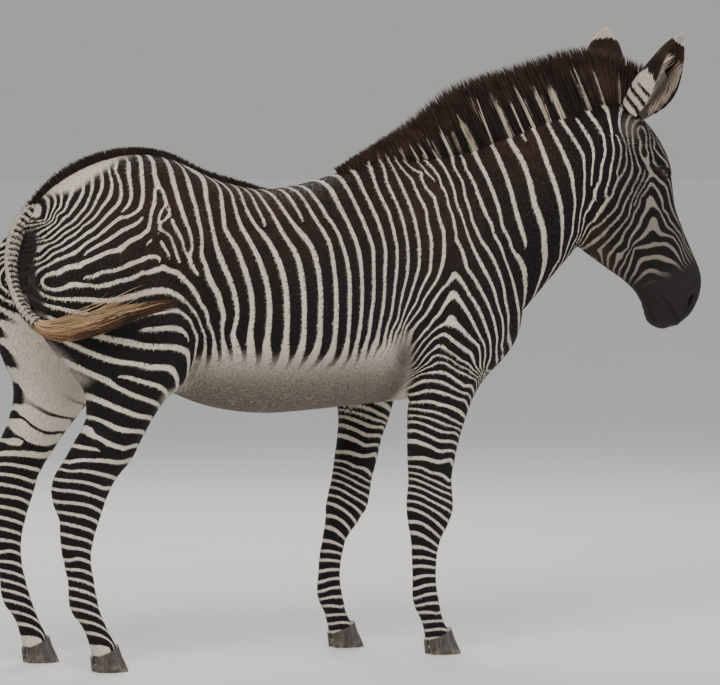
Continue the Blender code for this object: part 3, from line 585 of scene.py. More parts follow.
# Courses of the white stripes. The stripes are numbered: 0 stands on the flank, the numbers rise along the
# barrel to the shoulder (16), over the chevrons and down the fore leg to the hoof (54), fall again up the
# neck and over the cheeks to the nose, and fall over the rump and down the hind leg (-27). Each number has
# places (x, z) on the side of the body that the middle of its white stripe passes, in millimetres. The black
# lies between.
STRIPES = {
    54: [(-29, 13), (-8, 12)],
    50: [(-57, 109), (-16, 107)],
    45: [(-70, 229)],
    42: [(-77, 317), (-5, 278)],
    40: [(-86, 378), (9, 320)],
    38: [(-84, 419), (-41, 400)],
    36: [(-82, 456), (13, 416)],
    34: [(-42, 472), (14, 449)],
    33: [(-84, 507), (16, 504)],
    32: [(-85, 554), (-44, 539), (-19, 526)],
    31: [(-85, 580), (-64, 573), (-29, 555)],
    30: [(-86, 603), (25, 573)],
    28: [(-86, 636), (-66, 632), (8, 608), (36, 596)],
    27: [(-26, 647)],
    26: [(-65, 681), (1, 670), (47, 656)],
    25: [(-80, 692)],
    24: [(-43, 730), (-69, 724), (-86, 713), (10, 709), (35, 693)],
    23: [(-36, 755), (-16, 753), (-57, 742), (12, 735), (41, 724), (73, 709)],
    22: [(-40, 773), (-57, 752)],
    21: [(-29, 799), (-44, 786), (-10, 783), (-68, 763), (20, 760), (-83, 740)],
    20: [(-18, 829), (-1, 814), (52, 775), (65, 743)],
    19: [(-1, 872), (1, 852), (-74, 810), (73, 797), (79, 764)],
    18: [(10, 936), (-26, 880), (-57, 845), (-83, 820), (79, 817)],
    17: [(23, 981), (-2, 954), (58, 927), (-89, 859), (113, 765), (104, 731)],
    16.5: [(-28, 1271), (7, 1258), (-10, 1245), (15, 1238), (1, 1223), (20, 1205), (26, 1177), (27, 1131),
        (27, 1080), (31, 1040)],
    16: [(-13, 1240), (32, 1207), (3, 1177), (7, 1086), (40, 1072), (61, 993), (-72, 912), (-129, 842),
        (135, 808)],
    15: [(-66, 1276), (-46, 1220), (64, 1163), (-30, 1144), (-32, 1058), (-46, 987), (143, 928), (-89, 912),
        (159, 863), (-135, 842), (152, 794)],
    14: [(103, 1285), (89, 1252), (98, 1217), (95, 1176), (104, 1114), (118, 1068), (178, 908), (191, 841),
        (-156, 835)],
    13: [(123, 1288), (-105, 1271), (121, 1247), (-120, 1214), (166, 1103), (191, 1046), (-112, 976),
        (245, 874), (-150, 870), (818, 1360), (838, 1326)],
    12.2: [(843, 1282)],
    12: [(162, 1277), (-138, 1261), (-140, 1138), (198, 1097), (-133, 1052), (227, 1040), (-191, 800),
        (782, 1385)],
    11: [(273, 1336), (271, 1308), (-194, 1202), (306, 1152), (339, 1037), (-183, 985), (342, 969),
        (-222, 801), (-241, 742)],
    10.8: [(847, 1238)],
    10.4: [(791, 1343)],
    10: [(-210, 1049), (406, 1009), (-234, 880), (-252, 797), (-263, 745), (812, 1309)],
    9.8: [(758, 1370)],
    9.2: [(850, 1194)],
    9: [(388, 1377), (418, 1265), (435, 1203), (-278, 1195), (443, 1150)],
    8.8: [(817, 1265)],
    8.5: [(708, 1389)],
    8: [(428, 1369), (475, 1273), (475, 1228), (-335, 1209), (-335, 1180), (-327, 1133), (463, 1116),
        (464, 1071), (-304, 1063), (-322, 752), (757, 1321)],
    7.6: [(859, 1153), (780, 1288)],
    7.5: [(697, 1380)],
    7.4: [(820, 1221)],
    7: [(511, 1398), (532, 1325), (531, 1287), (518, 1248), (-366, 1202), (502, 1168), (477, 1118),
        (-351, 1101), (-339, 1064)],
    6.2: [(870, 1113), (783, 1244)],
    6: [(730, 1359), (591, 1301), (736, 1280), (587, 1263), (567, 1223), (-441, 1200), (542, 1186),
        (518, 1145), (505, 1107), (-418, 1092), (-389, 872), (822, 1176)],
    5: [(690, 1358), (681, 1303), (597, 1301), (-475, 1203), (-485, 1177), (547, 1134), (521, 1105),
        (502, 1081), (-445, 1046), (883, 1075)],
    4.8: [(829, 1134)],
    4: [(678, 1363), (673, 1319), (670, 1261), (620, 1255), (628, 1237), (617, 1215), (-528, 1213),
        (596, 1179), (-551, 1168), (574, 1142), (516, 1057), (-482, 767), (517, 1062), (511, 1053),
        (508, 1044)],
    3: [(635, 1316), (653, 1293), (654, 1264), (656, 1240), (659, 1224), (-582, 1222), (688, 1211),
        (717, 1195), (636, 1194), (-573, 1193), (618, 1164), (594, 1116), (832, 1092), (566, 1078),
        (826, 1049), (-534, 812), (540, 1050), (520, 1028), (508, 1012)],
    2.55: [(642, 1317), (647, 1287), (641, 1341)],
    2: [(-611, 1235), (-600, 1216), (659, 1203), (693, 1174), (629, 1165), (713, 1134), (608, 1117),
        (-630, 1105), (745, 1104), (779, 1082), (583, 1068), (-604, 1055), (809, 1055), (569, 1033),
        (546, 1007), (529, 982)],
    1: [(-668, 1258), (-631, 1240), (-660, 1180), (663, 1166), (653, 1130), (704, 1128), (721, 1107),
        (634, 1091), (565, 1000), (-621, 838), (600, 1022), (580, 994), (560, 966)],
    0: [(-687, 1273), (-687, 1254), (-696, 1158), (682, 1109), (716, 1067), (760, 1059), (640, 1050),
        (-704, 1044), (788, 1033), (614, 1026), (598, 999), (807, 993), (575, 955), (-659, 944),
        (-643, 888)],
    -0.5: [(-759, 1169), (-792, 1164), (-790, 1112), (-740, 1087), (-790, 1085), (-787, 1068), (-831, 1061),
        (-875, 1059), (-799, 1043), (-940, 1035), (-839, 1024), (-785, 1023), (-1001, 1011), (-965, 994),
        (-1061, 987), (-1104, 977), (-1079, 985), (-1046, 995), (-1006, 1004), (-967, 1016), (-923, 1032),
        (-880, 1047), (-839, 1061), (-991, 979), (-952, 989), (-898, 1003), (-846, 1017)],
    -1: [(-762, 1286), (-782, 1243), (-834, 1105), (-857, 1088), (-923, 1054), (729, 1042), (678, 1033),
        (622, 1021), (-1024, 1019), (-800, 1011), (-1078, 1000), (-865, 1000), (-767, 998), (-934, 981),
        (-1053, 973), (-1002, 972), (-707, 920), (-683, 869)],
    -2: [(-788, 1289), (-853, 1152), (-901, 1135), (-1017, 1060), (-1091, 1024), (-1111, 1011), (739, 997),
        (776, 986), (806, 965), (629, 951), (609, 917)],
    -3: [(-878, 1251), (-896, 1172), (-975, 1104), (-1087, 1043), (716, 957), (-1082, 916), (-1032, 904),
        (-823, 902), (-761, 901), (-730, 877), (-707, 836)],
    -4: [(-889, 1255), (-900, 1219), (-947, 1155), (-994, 1116), (-1040, 1085), (-1083, 1060),
        (-1105, 1038), (709, 931), (681, 925), (630, 893), (-745, 794)],
    -5: [(-945, 1185), (-1000, 1121), (-1100, 1055), (-936, 779), (-858, 765), (-803, 761)],
    -6: [(-981, 1160), (-1023, 1121), (-1084, 1079), (-930, 713)],
    -7: [(-974, 1197), (-1084, 1084), (-874, 642), (-819, 630)],
    -8: [(-1017, 1170), (-1045, 1141), (-1068, 1111), (-1079, 1103), (-985, 640), (-936, 614)],
    -9: [(-1017, 1197), (-1034, 1160), (-1068, 1121), (-991, 615), (-989, 594), (-859, 566), (-910, 562)],
    -9.5: [(-1008, 583), (-991, 579), (-1022, 552), (-997, 550)],
    -10: [(-876, 532), (-1045, 529)],
    -11: [(-1045, 1181), (-1057, 1152), (-1070, 1128), (-1056, 512), (-1020, 510), (-922, 486)],
    -12: [(-1071, 487), (-927, 463), (-952, 462)],
    -13: [(-1043, 460)],
    -14: [(-1071, 432), (-997, 422)],
    -19: [(-1018, 289), (-1043, 284), (-982, 277)],
    -27: [(-972, 61), (-934, 56)],
}

# White stripes that end, or fork off a neighbour, between the numbered ones, as lines of places (x, z),
# in millimetres
SPLITS = [
    [(-512, 1208), (-528, 1187), (-521, 1153), (-516, 1109)],
    [(-392, 1199), (-408, 1161), (-403, 1119)],
    [(272, 1042), (250, 1112), (234, 1164), (224, 1226), (216, 1277), (217, 1315)],
    [(311, 1313), (306, 1349)],
    [(497, 1199), (499, 1233), (512, 1291), (493, 1343), (469, 1377)],
    [(524, 1166), (535, 1203), (551, 1262), (558, 1314), (553, 1348), (541, 1387), (543, 1424)],
    [(557, 1223), (570, 1271), (565, 1332)],
    [(606, 1145), (613, 1177), (629, 1207), (644, 1238)],
    [(18, 1215), (8, 1240), (-2, 1261), (-1, 1273)],
    [(-718, 1283), (-730, 1254), (-734, 1205), (-739, 1151), (-731, 1119), (-730, 1082), (-735, 1047)],
    [(-788, 1201), (-777, 1181), (-778, 1159), (-770, 1146), (-770, 1132), (-761, 1112), (-755, 1090),
     (-747, 1057), (-728, 1022), (-707, 992)],
    [(-771, 1129), (-784, 1127), (-801, 1125), (-810, 1115), (-810, 1097)],
    [(-778, 1159), (-792, 1144), (-797, 1127)],
    [(-826, 1083), (-840, 1068)],
    [(-1018, 989), (-976, 1006), (-929, 1023), (-859, 1041), (-822, 1048), (-810, 1026)],
    [(-805, 1097), (-784, 1100), (-774, 1077), (-766, 1045), (-759, 1023)],
    [(-809, 1078), (-795, 1060), (-782, 1035)],
    [(-839, 1142), (-852, 1123), (-915, 1091), (-963, 1072), (-1010, 1046)],
    [(-833, 1282), (-847, 1250), (-848, 1219), (-859, 1189), (-869, 1170), (-894, 1148)],
    [(-882, 857), (-827, 861), (-787, 852), (-744, 828)],
    [(-938, 741), (-882, 728), (-826, 711), (-783, 685)],
    [(-1160, 575), (-1020, 570), (-1001, 564), (-977, 562)],
]


def on_side(points):
    """Place (x, z) on the drawing of the side. The left legs stand further back, so they are slid onto the
    right ones, and the front of the face is unrolled beyond its profile."""
    x, y, z = points.T
    way, side, level = head_place(points)
    half = np.interp(way, HEAD[:, 0], HEAD[:, 4])
    above = level - np.interp(way, HEAD[:, 0], HEAD[:, 3])
    unrolled = smooth(0.02, 0.12, way) * smooth(0.50, 0.56, x) * smooth(0, 0.03, np.abs(above)) \
        * np.sign(above) * np.maximum(half - np.abs(side), 0)
    slide = smooth(0.80, 0.62, z) * smooth(0.02, 0.08, y)
    pair = np.where(x > MIDDLE, leg_row(LEGS["fore_right"], z)[:, 0] - leg_row(LEGS["fore_left"], z)[:, 0],
                    leg_row(LEGS["hind_right"], z)[:, 0] - leg_row(LEGS["hind_left"], z)[:, 0])
    return np.stack([x + unrolled * UPWARD[0] + slide * pair, z + unrolled * UPWARD[2]], 1)


def turn_of_splits(places):
    """The sum of the angles that the split stripes' lines subtend at each place, as a part of a full turn.
    It jumps by one across each line, so a white stripe lies on the line and none beyond its ends."""
    turn = np.zeros(len(places))
    for line in SPLITS:
        line = np.array(line) / 1000
        for start, end in zip(line[:-1], line[1:]):
            a, b = places - start, places - end
            turn -= np.arctan2(a[:, 0] * b[:, 1] - a[:, 1] * b[:, 0], (a * b).sum(1))
    return turn / (2 * np.pi)


COURSES = np.array([place for course in STRIPES.values() for place in course]) / 1000
SOFTENING = 0.004  # rounds the stripe field's tips at the listed places


def spread(places):
    """Distance to every listed place, 1, x and z: the terms of the stripe field."""
    gap = np.sqrt(((places[:, None] - COURSES[None]) ** 2).sum(2) + SOFTENING ** 2)
    return np.hstack([gap, np.ones((len(places), 1)), places])


def fit_field():
    """Weights with which the terms give each stripe's number at its places, with the smallest bending."""
    count = len(COURSES)
    numbers = np.array([number for number, course in STRIPES.items() for _ in course], float)
    terms = spread(COURSES)
    system = np.zeros((count + 3, count + 3))
    system[:count] = terms
    system[count:, :count] = terms[:, count:].T
    system[:count, :count] -= 2e-4 * np.eye(count)
    return np.linalg.solve(system, np.r_[numbers - turn_of_splits(COURSES), 0, 0, 0])


FIELD = fit_field()


def stripe_number(points):
    """The stripe field at each point: whole on the middle of a white stripe, half way between on a black.
    It is given as its even part and the splits' part, which jumps by one across a split stripe's line."""
    places = on_side(points)
    even = np.concatenate([spread(places[start:start + 20000]) @ FIELD
                           for start in range(0, len(places), 20000)])
    return even, turn_of_splits(places)


# How much of a stripe and its gap is white: x, z, reach, share
WHITE_SHARES = np.array([
    (-0.40, 0.86, 0.14, 0.30), (-0.40, 1.12, 0.12, 0.23), (-0.05, 1.12, 0.12, 0.22),
    (0.02, 0.92, 0.10, 0.27), (0.25, 1.20, 0.12, 0.21), (0.42, 1.24, 0.10, 0.21), (0.30, 1.02, 0.10, 0.24),
    (0.00, 0.62, 0.10, 0.29), (-0.03, 0.35, 0.16, 0.29), (-0.96, 0.42, 0.16, 0.28),
    (-0.88, 0.72, 0.12, 0.26), (-0.85, 0.95, 0.12, 0.28), (-1.02, 1.08, 0.08, 0.36),
    (-0.85, 1.18, 0.08, 0.30), (-0.72, 1.05, 0.10, 0.27), (0.62, 1.20, 0.08, 0.29), (0.70, 1.05, 0.08, 0.33),
])
# Height up to which the belly is pale, along x
PALE_BELLY = np.array([(-0.72, 0.700), (-0.66, 0.780), (-0.61, 0.792), (-0.54, 0.775), (-0.43, 0.768),
                       (-0.34, 0.762), (-0.26, 0.775), (-0.17, 0.805), (-0.12, 0.830), (-0.09, 0.740)])
# Where the black is tinted brown: x, z, radius, strength
BROWN_TINTS = [(-0.02, 1.18, 0.20, 0.40), (-0.45, 1.20, 0.18, 0.45), (-0.80, 1.15, 0.20, 0.35),
               (0.30, 1.33, 0.12, 0.50)]
# Top line of the rump, and how far the white beside the dark ridge reaches down it: x, z, reach
RUMP = np.array([(-1.105, 1.080, -0.030), (-1.055, 1.175, -0.020), (-0.990, 1.228, 0.020),
                 (-0.930, 1.256, 0.012), (-0.850, 1.280, -0.004), (-0.790, 1.287, -0.012),
                 (-0.740, 1.285, -0.070), (-0.500, 1.205, -0.070)])
# Painted shadow over dark bare skin beside the root of the tail: height, and how far to the right it reaches
SKIN_AND_SHADOW_BY_TAIL = np.array([(0.880, -0.176), (0.933, -0.170), (0.970, -0.158), (1.006, -0.140), (1.054, -0.098),
                        (1.078, -0.078), (1.110, -0.070)])


def markings(points, normals):
    """Two sets of values for each point. Shares: white's share of a stripe and its gap, and how pale the
    black is. Tones: dark skin and painted shadow, brown tint of the black, soiled white and painted shade,
    red of the eye's rim."""
    x, y, z = points.T
    near_x, near_z, near_reach, near_share = WHITE_SHARES.T
    apart = (x[:, None] - near_x) ** 2 + (z[:, None] - near_z) ** 2
    weight = np.exp(-apart / near_reach ** 2 / 2) + 1e-9
    white = (weight * near_share).sum(1) / weight.sum(1)
    head = head_share(points)
    place = sided(points)
    way, side, level = place.T
    # belly, inside of the legs, white beside the dark ridge of the rump
    back = 0.075 * smooth(0.80, 0.64, z) * smooth(0.02, 0.08, y)  # the left fore leg stands further back
    inside_x = smooth(-0.74, -0.66, x) * smooth(-0.085, -0.115, x + back) * smooth(0.585, 0.615, z)
    edge = np.interp(x, PALE_BELLY[:, 0], PALE_BELLY[:, 1])
    pale = smooth(edge + 0.022, edge - 0.035, z) * inside_x
    white = mixed(white, 0.75, 0.8 * smooth(edge + 0.07, edge - 0.01, z) * inside_x)
    under = smooth(-0.45, -0.85, normals[:, 2]) * smooth(0.60, 0.64, z) * smooth(0.16, 0.10, x)
    pale = np.maximum(pale, under * (1 - head))
    facing_in = -np.sign(y) * normals[:, 1]
    inner = smooth(0.20, 0.75, facing_in) * smooth(0.92, 0.84, z) * smooth(0.50, 0.60, z)
    white = mixed(white, 0.84, inner * np.where(x < MIDDLE, 1.0, 0.25))
    pale = np.maximum(pale, smooth(0.45, 0.9, inner * (x < MIDDLE)) * smooth(0.625, 0.70, z))
    top = np.interp(x, RUMP[:, 0], RUMP[:, 1])
    reach = np.interp(x, RUMP[:, 0], RUMP[:, 2])
    on_rump = smooth(-0.46, -0.56, x) * smooth(0.9, 1.0, z)
    beside = smooth(top - reach - 0.014, top - reach + 0.002, z) * on_rump
    pale = np.maximum(pale, beside)
    # dark skin: muzzle, rims of the eyes, nostrils, the line of the mouth and the groove of the rump;
    # painted shadow over dark bare skin beside the root of the tail, and painted shade behind the elbow
    dark = smooth(0.420, 0.472, way - 0.22 * (level + 0.08)) * head
    eye_ring = eye_place(place)[3]
    near_eye = head * (np.linalg.norm(place - EYE, axis=1) < 0.07)
    rim = smooth(2.1, 1.15, eye_ring) * near_eye
    dark = np.maximum(dark, 0.92 * rim)
    dark = np.maximum(dark, smooth(0.016, 0.010, np.abs(y)) * on_rump * smooth(top - 0.03, top - 0.01, z))
    # painted shadow in the groove between the tail's root and the right buttock, over dark bare skin
    right_edge = np.interp(z, SKIN_AND_SHADOW_BY_TAIL[:, 0], SKIN_AND_SHADOW_BY_TAIL[:, 1])
    skin_and_shadow_by_tail = 0.97 * smooth(-1.072, -1.084, x) * smooth(0.86, 0.91, z) * smooth(1.120, 1.095, z) \
        * smooth(right_edge - 0.006, right_edge + 0.006, y) * smooth(0.06, 0.03, y)
    dark = np.maximum(dark, skin_and_shadow_by_tail)
    red = 0.45 * near_eye * smooth(1.9, 1.0, eye_ring)
    # brown tint of the black; grey of the white, which is painted shade on the lower belly and behind the
    # elbow, and partly painted shade on the head
    brown = sum(strength * bell(np.hypot(x - middle_x, z - middle_z) / radius)
                for middle_x, middle_z, radius, strength in BROWN_TINTS)
    jaw = head * smooth(-0.22, -0.26, level) * smooth(0.12, 0.18, way) * smooth(0.42, 0.36, way)
    brown = np.clip(brown + 0.55 * jaw, 0, 1)
    # painted shade: the head's whites greyed, partly for the shade the head lies in, and the lower belly
    # greyed as painted shade with a warm painted reflection of the ground
    soil_and_shade = head * (0.82 + 0.18 * smooth(0.22, 0.40, way)) + 1.0 * smooth(0.84, 0.70, z) * inside_x
    bare = head * bell((way - 0.040) / 0.024) * bell((level + 0.050) / 0.026) * smooth(0.04, 0.06, side)
    pale = np.maximum(pale, 0.35 * bare)
    # painted shade in the crease behind the elbow: part of the dark tone and full grey on the white
    elbow_crease_shade = (1 - head) * bell((x + 0.125 + back) / 0.040) * bell((z - 0.765) / 0.075)
    dark = np.maximum(dark, 0.5 * elbow_crease_shade)
    soil_and_shade = np.maximum(soil_and_shade, elbow_crease_shade)
    soil_and_shade = np.clip(np.maximum(soil_and_shade, bare), 0, 1)
    return channels(white, np.clip(pale, 0, 1)), np.stack([dark, brown, soil_and_shade, red], 1)


def channels(white, pale):
    """The shares as a colour's four channels."""
    return np.stack(np.broadcast_arrays(white, pale, 0.0, 1.0), -1)


def mark(mesh, number, shares, tones, chance=0.5):
    """Stores the markings in the mesh, and a chance number that is the same all over a lock or tuft. Stripe
    numbers are one for each point, or one for each corner of each face where there are as many."""
    domain = "POINT" if len(number) == len(mesh.vertices) else "CORNER"
    chance = np.broadcast_to(chance, len(shares))
    for name, place, values in (("number", domain, number), ("chance", "POINT", chance)):
        layer = mesh.attributes.new(name, "FLOAT", place)
        layer.data.foreach_set("value", np.ascontiguousarray(values, np.float32))
    for name, values in (("shares", shares), ("tones", tones)):
        layer = mesh.attributes.new(name, "FLOAT_COLOR", "POINT")
        layer.data.foreach_set("color", np.ascontiguousarray(values, np.float32).ravel())


def corner_numbers(mesh, even, splits):
    """The stripe field at each corner of each face, with the splits' part brought within half a turn of that
    at the face's first corner, so that no face spans a jump."""
    corner = values_of(mesh.loops, "vertex_index", np.int32)
    start = values_of(mesh.polygons, "loop_start", np.int32)
    first = np.repeat(splits[corner[start]], np.diff(np.r_[start, len(corner)]))
    own = splits[corner]
    return even[corner] + own + np.round(first - own)


# Lie of the hair: middle x, y, z of a region on the right, its reach, and the way its hair lies
LIE = [
    ((0.66, 0.00, 1.14), 0.16, (0.50, 0.00, -0.87)), ((0.60, 0.00, 1.36), 0.07, (-0.20, 0.00, 0.98)),
    ((0.32, -0.06, 1.16), 0.16, (-0.62, 0.00, -0.78)), ((0.10, -0.15, 0.95), 0.14, (-0.35, 0.00, -0.94)),
    ((-0.30, -0.20, 1.00), 0.22, (-0.90, 0.00, -0.44)), ((-0.30, -0.15, 0.70), 0.16, (-0.95, 0.10, -0.20)),
    ((-0.75, -0.18, 1.10), 0.18, (-0.75, 0.00, -0.66)), ((-1.02, -0.12, 1.00), 0.12, (-0.40, 0.00, -0.92)),
    ((-0.85, -0.20, 0.80), 0.14, (-0.30, 0.00, -0.95)), ((-0.98, -0.14, 0.40), 0.20, (0.00, 0.00, -1.00)),
    ((-1.05, 0.14, 0.40), 0.20, (0.00, 0.00, -1.00)), ((0.00, -0.14, 0.60), 0.16, (0.00, 0.00, -1.00)),
    ((-0.03, -0.14, 0.30), 0.20, (0.00, 0.00, -1.00)), ((-0.16, 0.14, 0.30), 0.20, (0.00, 0.00, -1.00)),
]


def unit(vectors):
    """The vectors' ways, each one long."""
    return vectors / np.maximum(np.linalg.norm(vectors, axis=1, keepdims=True), 1e-9)


def lie_of_hair(points, normals):
    """Unit vectors along the surface, from the regions' ways weighted by bells of the distance."""
    right = np.stack([points[:, 0], -np.abs(points[:, 1]), points[:, 2]], 1)
    total = np.zeros_like(points)
    for middle, reach, way in LIE:
        near = np.exp(-((right - middle) ** 2).sum(1) / reach ** 2 / 2)[:, None] + 1e-7
        total += near * np.array(way)
    total -= (total * normals).sum(1, keepdims=True) * normals
    return unit(total)


def add(tree, kind, inputs=None, **settings):
    """A node of this kind with its settings, its inputs set to values or joined to other nodes' sockets."""
    made = tree.nodes.new(kind)
    for key, value in settings.items():
        setattr(made, key, value)
    for key, value in (inputs or {}).items():
        if isinstance(value, bpy.types.NodeSocket):
            tree.links.new(value, made.inputs[key])
        else:
            made.inputs[key].default_value = value
    return made


def sum_of(tree, operation, *values):
    """Output of a Math node with these values."""
    return add(tree, "ShaderNodeMath", dict(enumerate(values)), operation=operation).outputs[0]


def ranged(tree, value, low, high, to_low=0.0, to_high=1.0):
    """The value's place between low and high on an S-curve from to_low to to_high."""
    return add(tree, "ShaderNodeMapRange", {0: value, 1: low, 2: high, 3: to_low, 4: to_high},
               interpolation_type="SMOOTHSTEP").outputs[0]


def blended(tree, share, first, second):
    """Output of a colour mix; 0 gives the first colour."""
    return add(tree, "ShaderNodeMix", {0: share, 6: first, 7: second},
               data_type="RGBA", clamp_result=False).outputs[2]


def noise(tree, place, scale, detail=2.0, roughness=0.5):
    """Value of a Noise node at the place."""
    return add(tree, "ShaderNodeTexNoise", {"Vector": place, "Scale": scale, "Detail": detail,
                                            "Roughness": roughness}).outputs["Fac"]


def new_group(name, values, colours, outputs):
    """Node group with these named number and colour inputs and colour or number outputs."""
    group = bpy.data.node_groups.new(name, "ShaderNodeTree")
    for kind, inputs in (("NodeSocketFloat", values), ("NodeSocketColor", colours)):
        for key, default in inputs.items():
            group.interface.new_socket(key, in_out="INPUT", socket_type=kind).default_value = default
    for key, kind in outputs.items():
        group.interface.new_socket(key, in_out="OUTPUT", socket_type=kind)
    return group, group.nodes.new("NodeGroupInput"), group.nodes.new("NodeGroupOutput")


def rgba(red, green, blue):
    """Opaque colour."""
    return (red, green, blue, 1.0)


WHITE_HAIR = rgba(0.62, 0.55, 0.465)
# soiled white, also the colour of painted shade on the white hair
SOILED_AND_SHADED_HAIR = rgba(0.212, 0.180, 0.150)
BLACK_HAIR = rgba(0.0085, 0.0070, 0.0066)
BROWN_HAIR = rgba(0.070, 0.034, 0.018)
# dark skin, also the colour of painted shadow and shade
DARK_SKIN_AND_SHADOW = rgba(0.019, 0.0155, 0.0150)
RED_RIM = rgba(0.085, 0.028, 0.018)


def make_striped_hair():
    """Group: the colour of the coat from its markings. A hair is black where the stripe field lies further
    from a white's middle than half the white's share, less where it is pale, with a ragged edge; the white
    is soiled by patchy noise and by the grey tone, which also carries painted shade; then dark skin, with
    the painted shadow of the dark tone, covers it. Each lock or tuft is lighter or darker by its own chance
    number."""
    group, given, made = new_group(
        "striped hair", {"Softness": 0.035, "Wander": 0.10, "Variation": 0.35},
        {"White": WHITE_HAIR, "Soiled": SOILED_AND_SHADED_HAIR, "Black": BLACK_HAIR, "Brown": BROWN_HAIR},
        {"Color": "NodeSocketColor"})
    place = add(group, "ShaderNodeTexCoord").outputs["Object"]
    number, chance, shares, tones = (add(group, "ShaderNodeAttribute", attribute_name=name).outputs
                                     for name in ("number", "chance", "shares", "tones"))
    number, chance, red = number["Fac"], chance["Fac"], tones["Alpha"]
    (white_share, pale, _), (skin, brown, soil_and_shade) = (
        add(group, "ShaderNodeSeparateColor", {0: both["Color"]}).outputs for both in (shares, tones))
    from_white = sum_of(group, "PINGPONG", number, 0.5)
    ragged = sum_of(group, "SUBTRACT", noise(group, place, 90.0, 3.0, 0.6), 0.5)
    from_white = sum_of(group, "MULTIPLY_ADD", ragged, given.outputs["Wander"], from_white)
    half = sum_of(group, "MULTIPLY", white_share, 0.5)
    soft = given.outputs["Softness"]
    black = ranged(group, from_white, sum_of(group, "SUBTRACT", half, soft), sum_of(group, "ADD", half, soft))
    black = sum_of(group, "MULTIPLY", black, sum_of(group, "SUBTRACT", 1.0, pale))
    patchy = ranged(group, noise(group, place, 7.0, 3.0), 0.42, 0.72)
    # soiled white from the grey tone, which carries painted shade, and from patchy real soil
    soiled_and_shaded = sum_of(group, "MAXIMUM", soil_and_shade, sum_of(group, "MULTIPLY", patchy, 0.22))
    white = blended(group, soiled_and_shaded, given.outputs["White"], given.outputs["Soiled"])
    brown_patches = ranged(group, noise(group, place, 30.0), 0.30, 0.62, 0.45, 1.0)
    browned = sum_of(group, "MULTIPLY", brown, brown_patches)
    dark = blended(group, browned, given.outputs["Black"], given.outputs["Brown"])
    colour = blended(group, black, white, dark)
    # dark skin, with the painted shadow and shade that the dark tone carries
    colour = blended(group, skin, colour, DARK_SKIN_AND_SHADOW)
    colour = blended(group, red, colour, RED_RIM)
    varied = sum_of(group, "MULTIPLY_ADD", sum_of(group, "SUBTRACT", chance, 0.5),
                    given.outputs["Variation"], 1.0)
    fine = ranged(group, noise(group, place, 420.0, 2.0), 0.25, 0.75, 0.86, 1.10)
    shade = sum_of(group, "MULTIPLY", varied, fine)
    shaded = add(group, "ShaderNodeVectorMath", {0: colour, "Scale": shade}, operation="SCALE").outputs[0]
    group.links.new(shaded, made.inputs["Color"])
    return group


STRIPED_HAIR = make_striped_hair()


def make_hair_grain():
    """Group: bump of short hair, from noise at two scales on the object's own coordinates."""
    group, given, made = new_group("hair grain", {"Strength": 0.4, "Scale": 500.0}, {},
                                   {"Normal": "NodeSocketVector"})
    place = add(group, "ShaderNodeTexCoord").outputs["Object"]
    bump = add(group, "ShaderNodeBump", {"Strength": given.outputs["Strength"], "Distance": 0.0012,
                                         "Height": noise(group, place, given.outputs["Scale"], 3.0)})
    group.links.new(bump.outputs[0], made.inputs["Normal"])
    return group


HAIR_GRAIN = make_hair_grain()


def set_inputs(node, **values):
    """Sets a node's named inputs to values; an underscore stands for a space."""
    for key, value in values.items():
        node.inputs[key.replace("_", " ")].default_value = value
    return node


def new_material(name, **sockets):
    """Material with one Principled shader whose own sockets have these values."""
    material = bpy.data.materials.new(name)
    material.use_nodes = True
    return material, material.node_tree, set_inputs(material.node_tree.nodes["Principled BSDF"], **sockets)


def hair_material(name, variation, strength, scale, **colours):
    """Matt hair with the markings' colours and a fine grain."""
    material, tree, shader = new_material(name, Roughness=0.58, Sheen_Weight=0.02, Sheen_Roughness=0.5,
                                          Specular_IOR_Level=0.12)
    hair = set_inputs(add(tree, "ShaderNodeGroup", node_tree=STRIPED_HAIR), Variation=variation, **colours)
    grain = set_inputs(add(tree, "ShaderNodeGroup", node_tree=HAIR_GRAIN), Strength=strength, Scale=scale)
    tree.links.new(hair.outputs["Color"], shader.inputs["Base Color"])
    tree.links.new(grain.outputs["Normal"], shader.inputs["Normal"])
    return material


hide_points, hide_quads, hide_others = make_hide()
hide_normals = normals_of(hide_points, hide_quads)
hide = piece("hide", hide_points, [hide_quads] + hide_others)
mark(hide.data, corner_numbers(hide.data, *stripe_number(hide_points)), *markings(hide_points, hide_normals))
hide.data.materials.append(hair_material("short coat", 0.0, 0.35, 520.0))
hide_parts("head", "neck", "trunk", "hindquarters", "fore_leg_right", "fore_leg_left",
            "hind_leg_right", "hind_leg_left")

# ------------------------------------------------------------------------------------------ hooves
# Four hooves of dark horn: a wall that flares from the coronet to a flat sole, with growth rings and a
# little dust, set on the slanted end of each leg.

HOOF_LENGTH, HOOF_WIDTH = 0.094, 0.080
CORONET, CORONET_SLOPE = 0.052, np.tan(np.radians(24.0))  # height at its middle, rise towards the toe
HOOVES = {"fore_right": (0.010, -0.130), "fore_left": (-0.141, 0.130),
          "hind_right": (-0.928, -0.140), "hind_left": (-0.998, 0.140)}
# Height, shift forwards, reach to the front and back as shares of the length, half width as one of the width
HOOF_WALL = np.array([(0.000, 0.006, 0.490, 0.490, 0.490), (0.0015, 0.006, 0.499, 0.499, 0.499),
                      (0.012, 0.003, 0.490, 0.480, 0.490), (0.040, -0.006, 0.440, 0.420, 0.440),
                      (0.080, -0.014, 0.380, 0.400, 0.400)])
HOOF_SHARES = np.r_[0.0, 0.02, np.linspace(0.08, 1.0, 22)]
HOOF_FULLNESS = 2.2


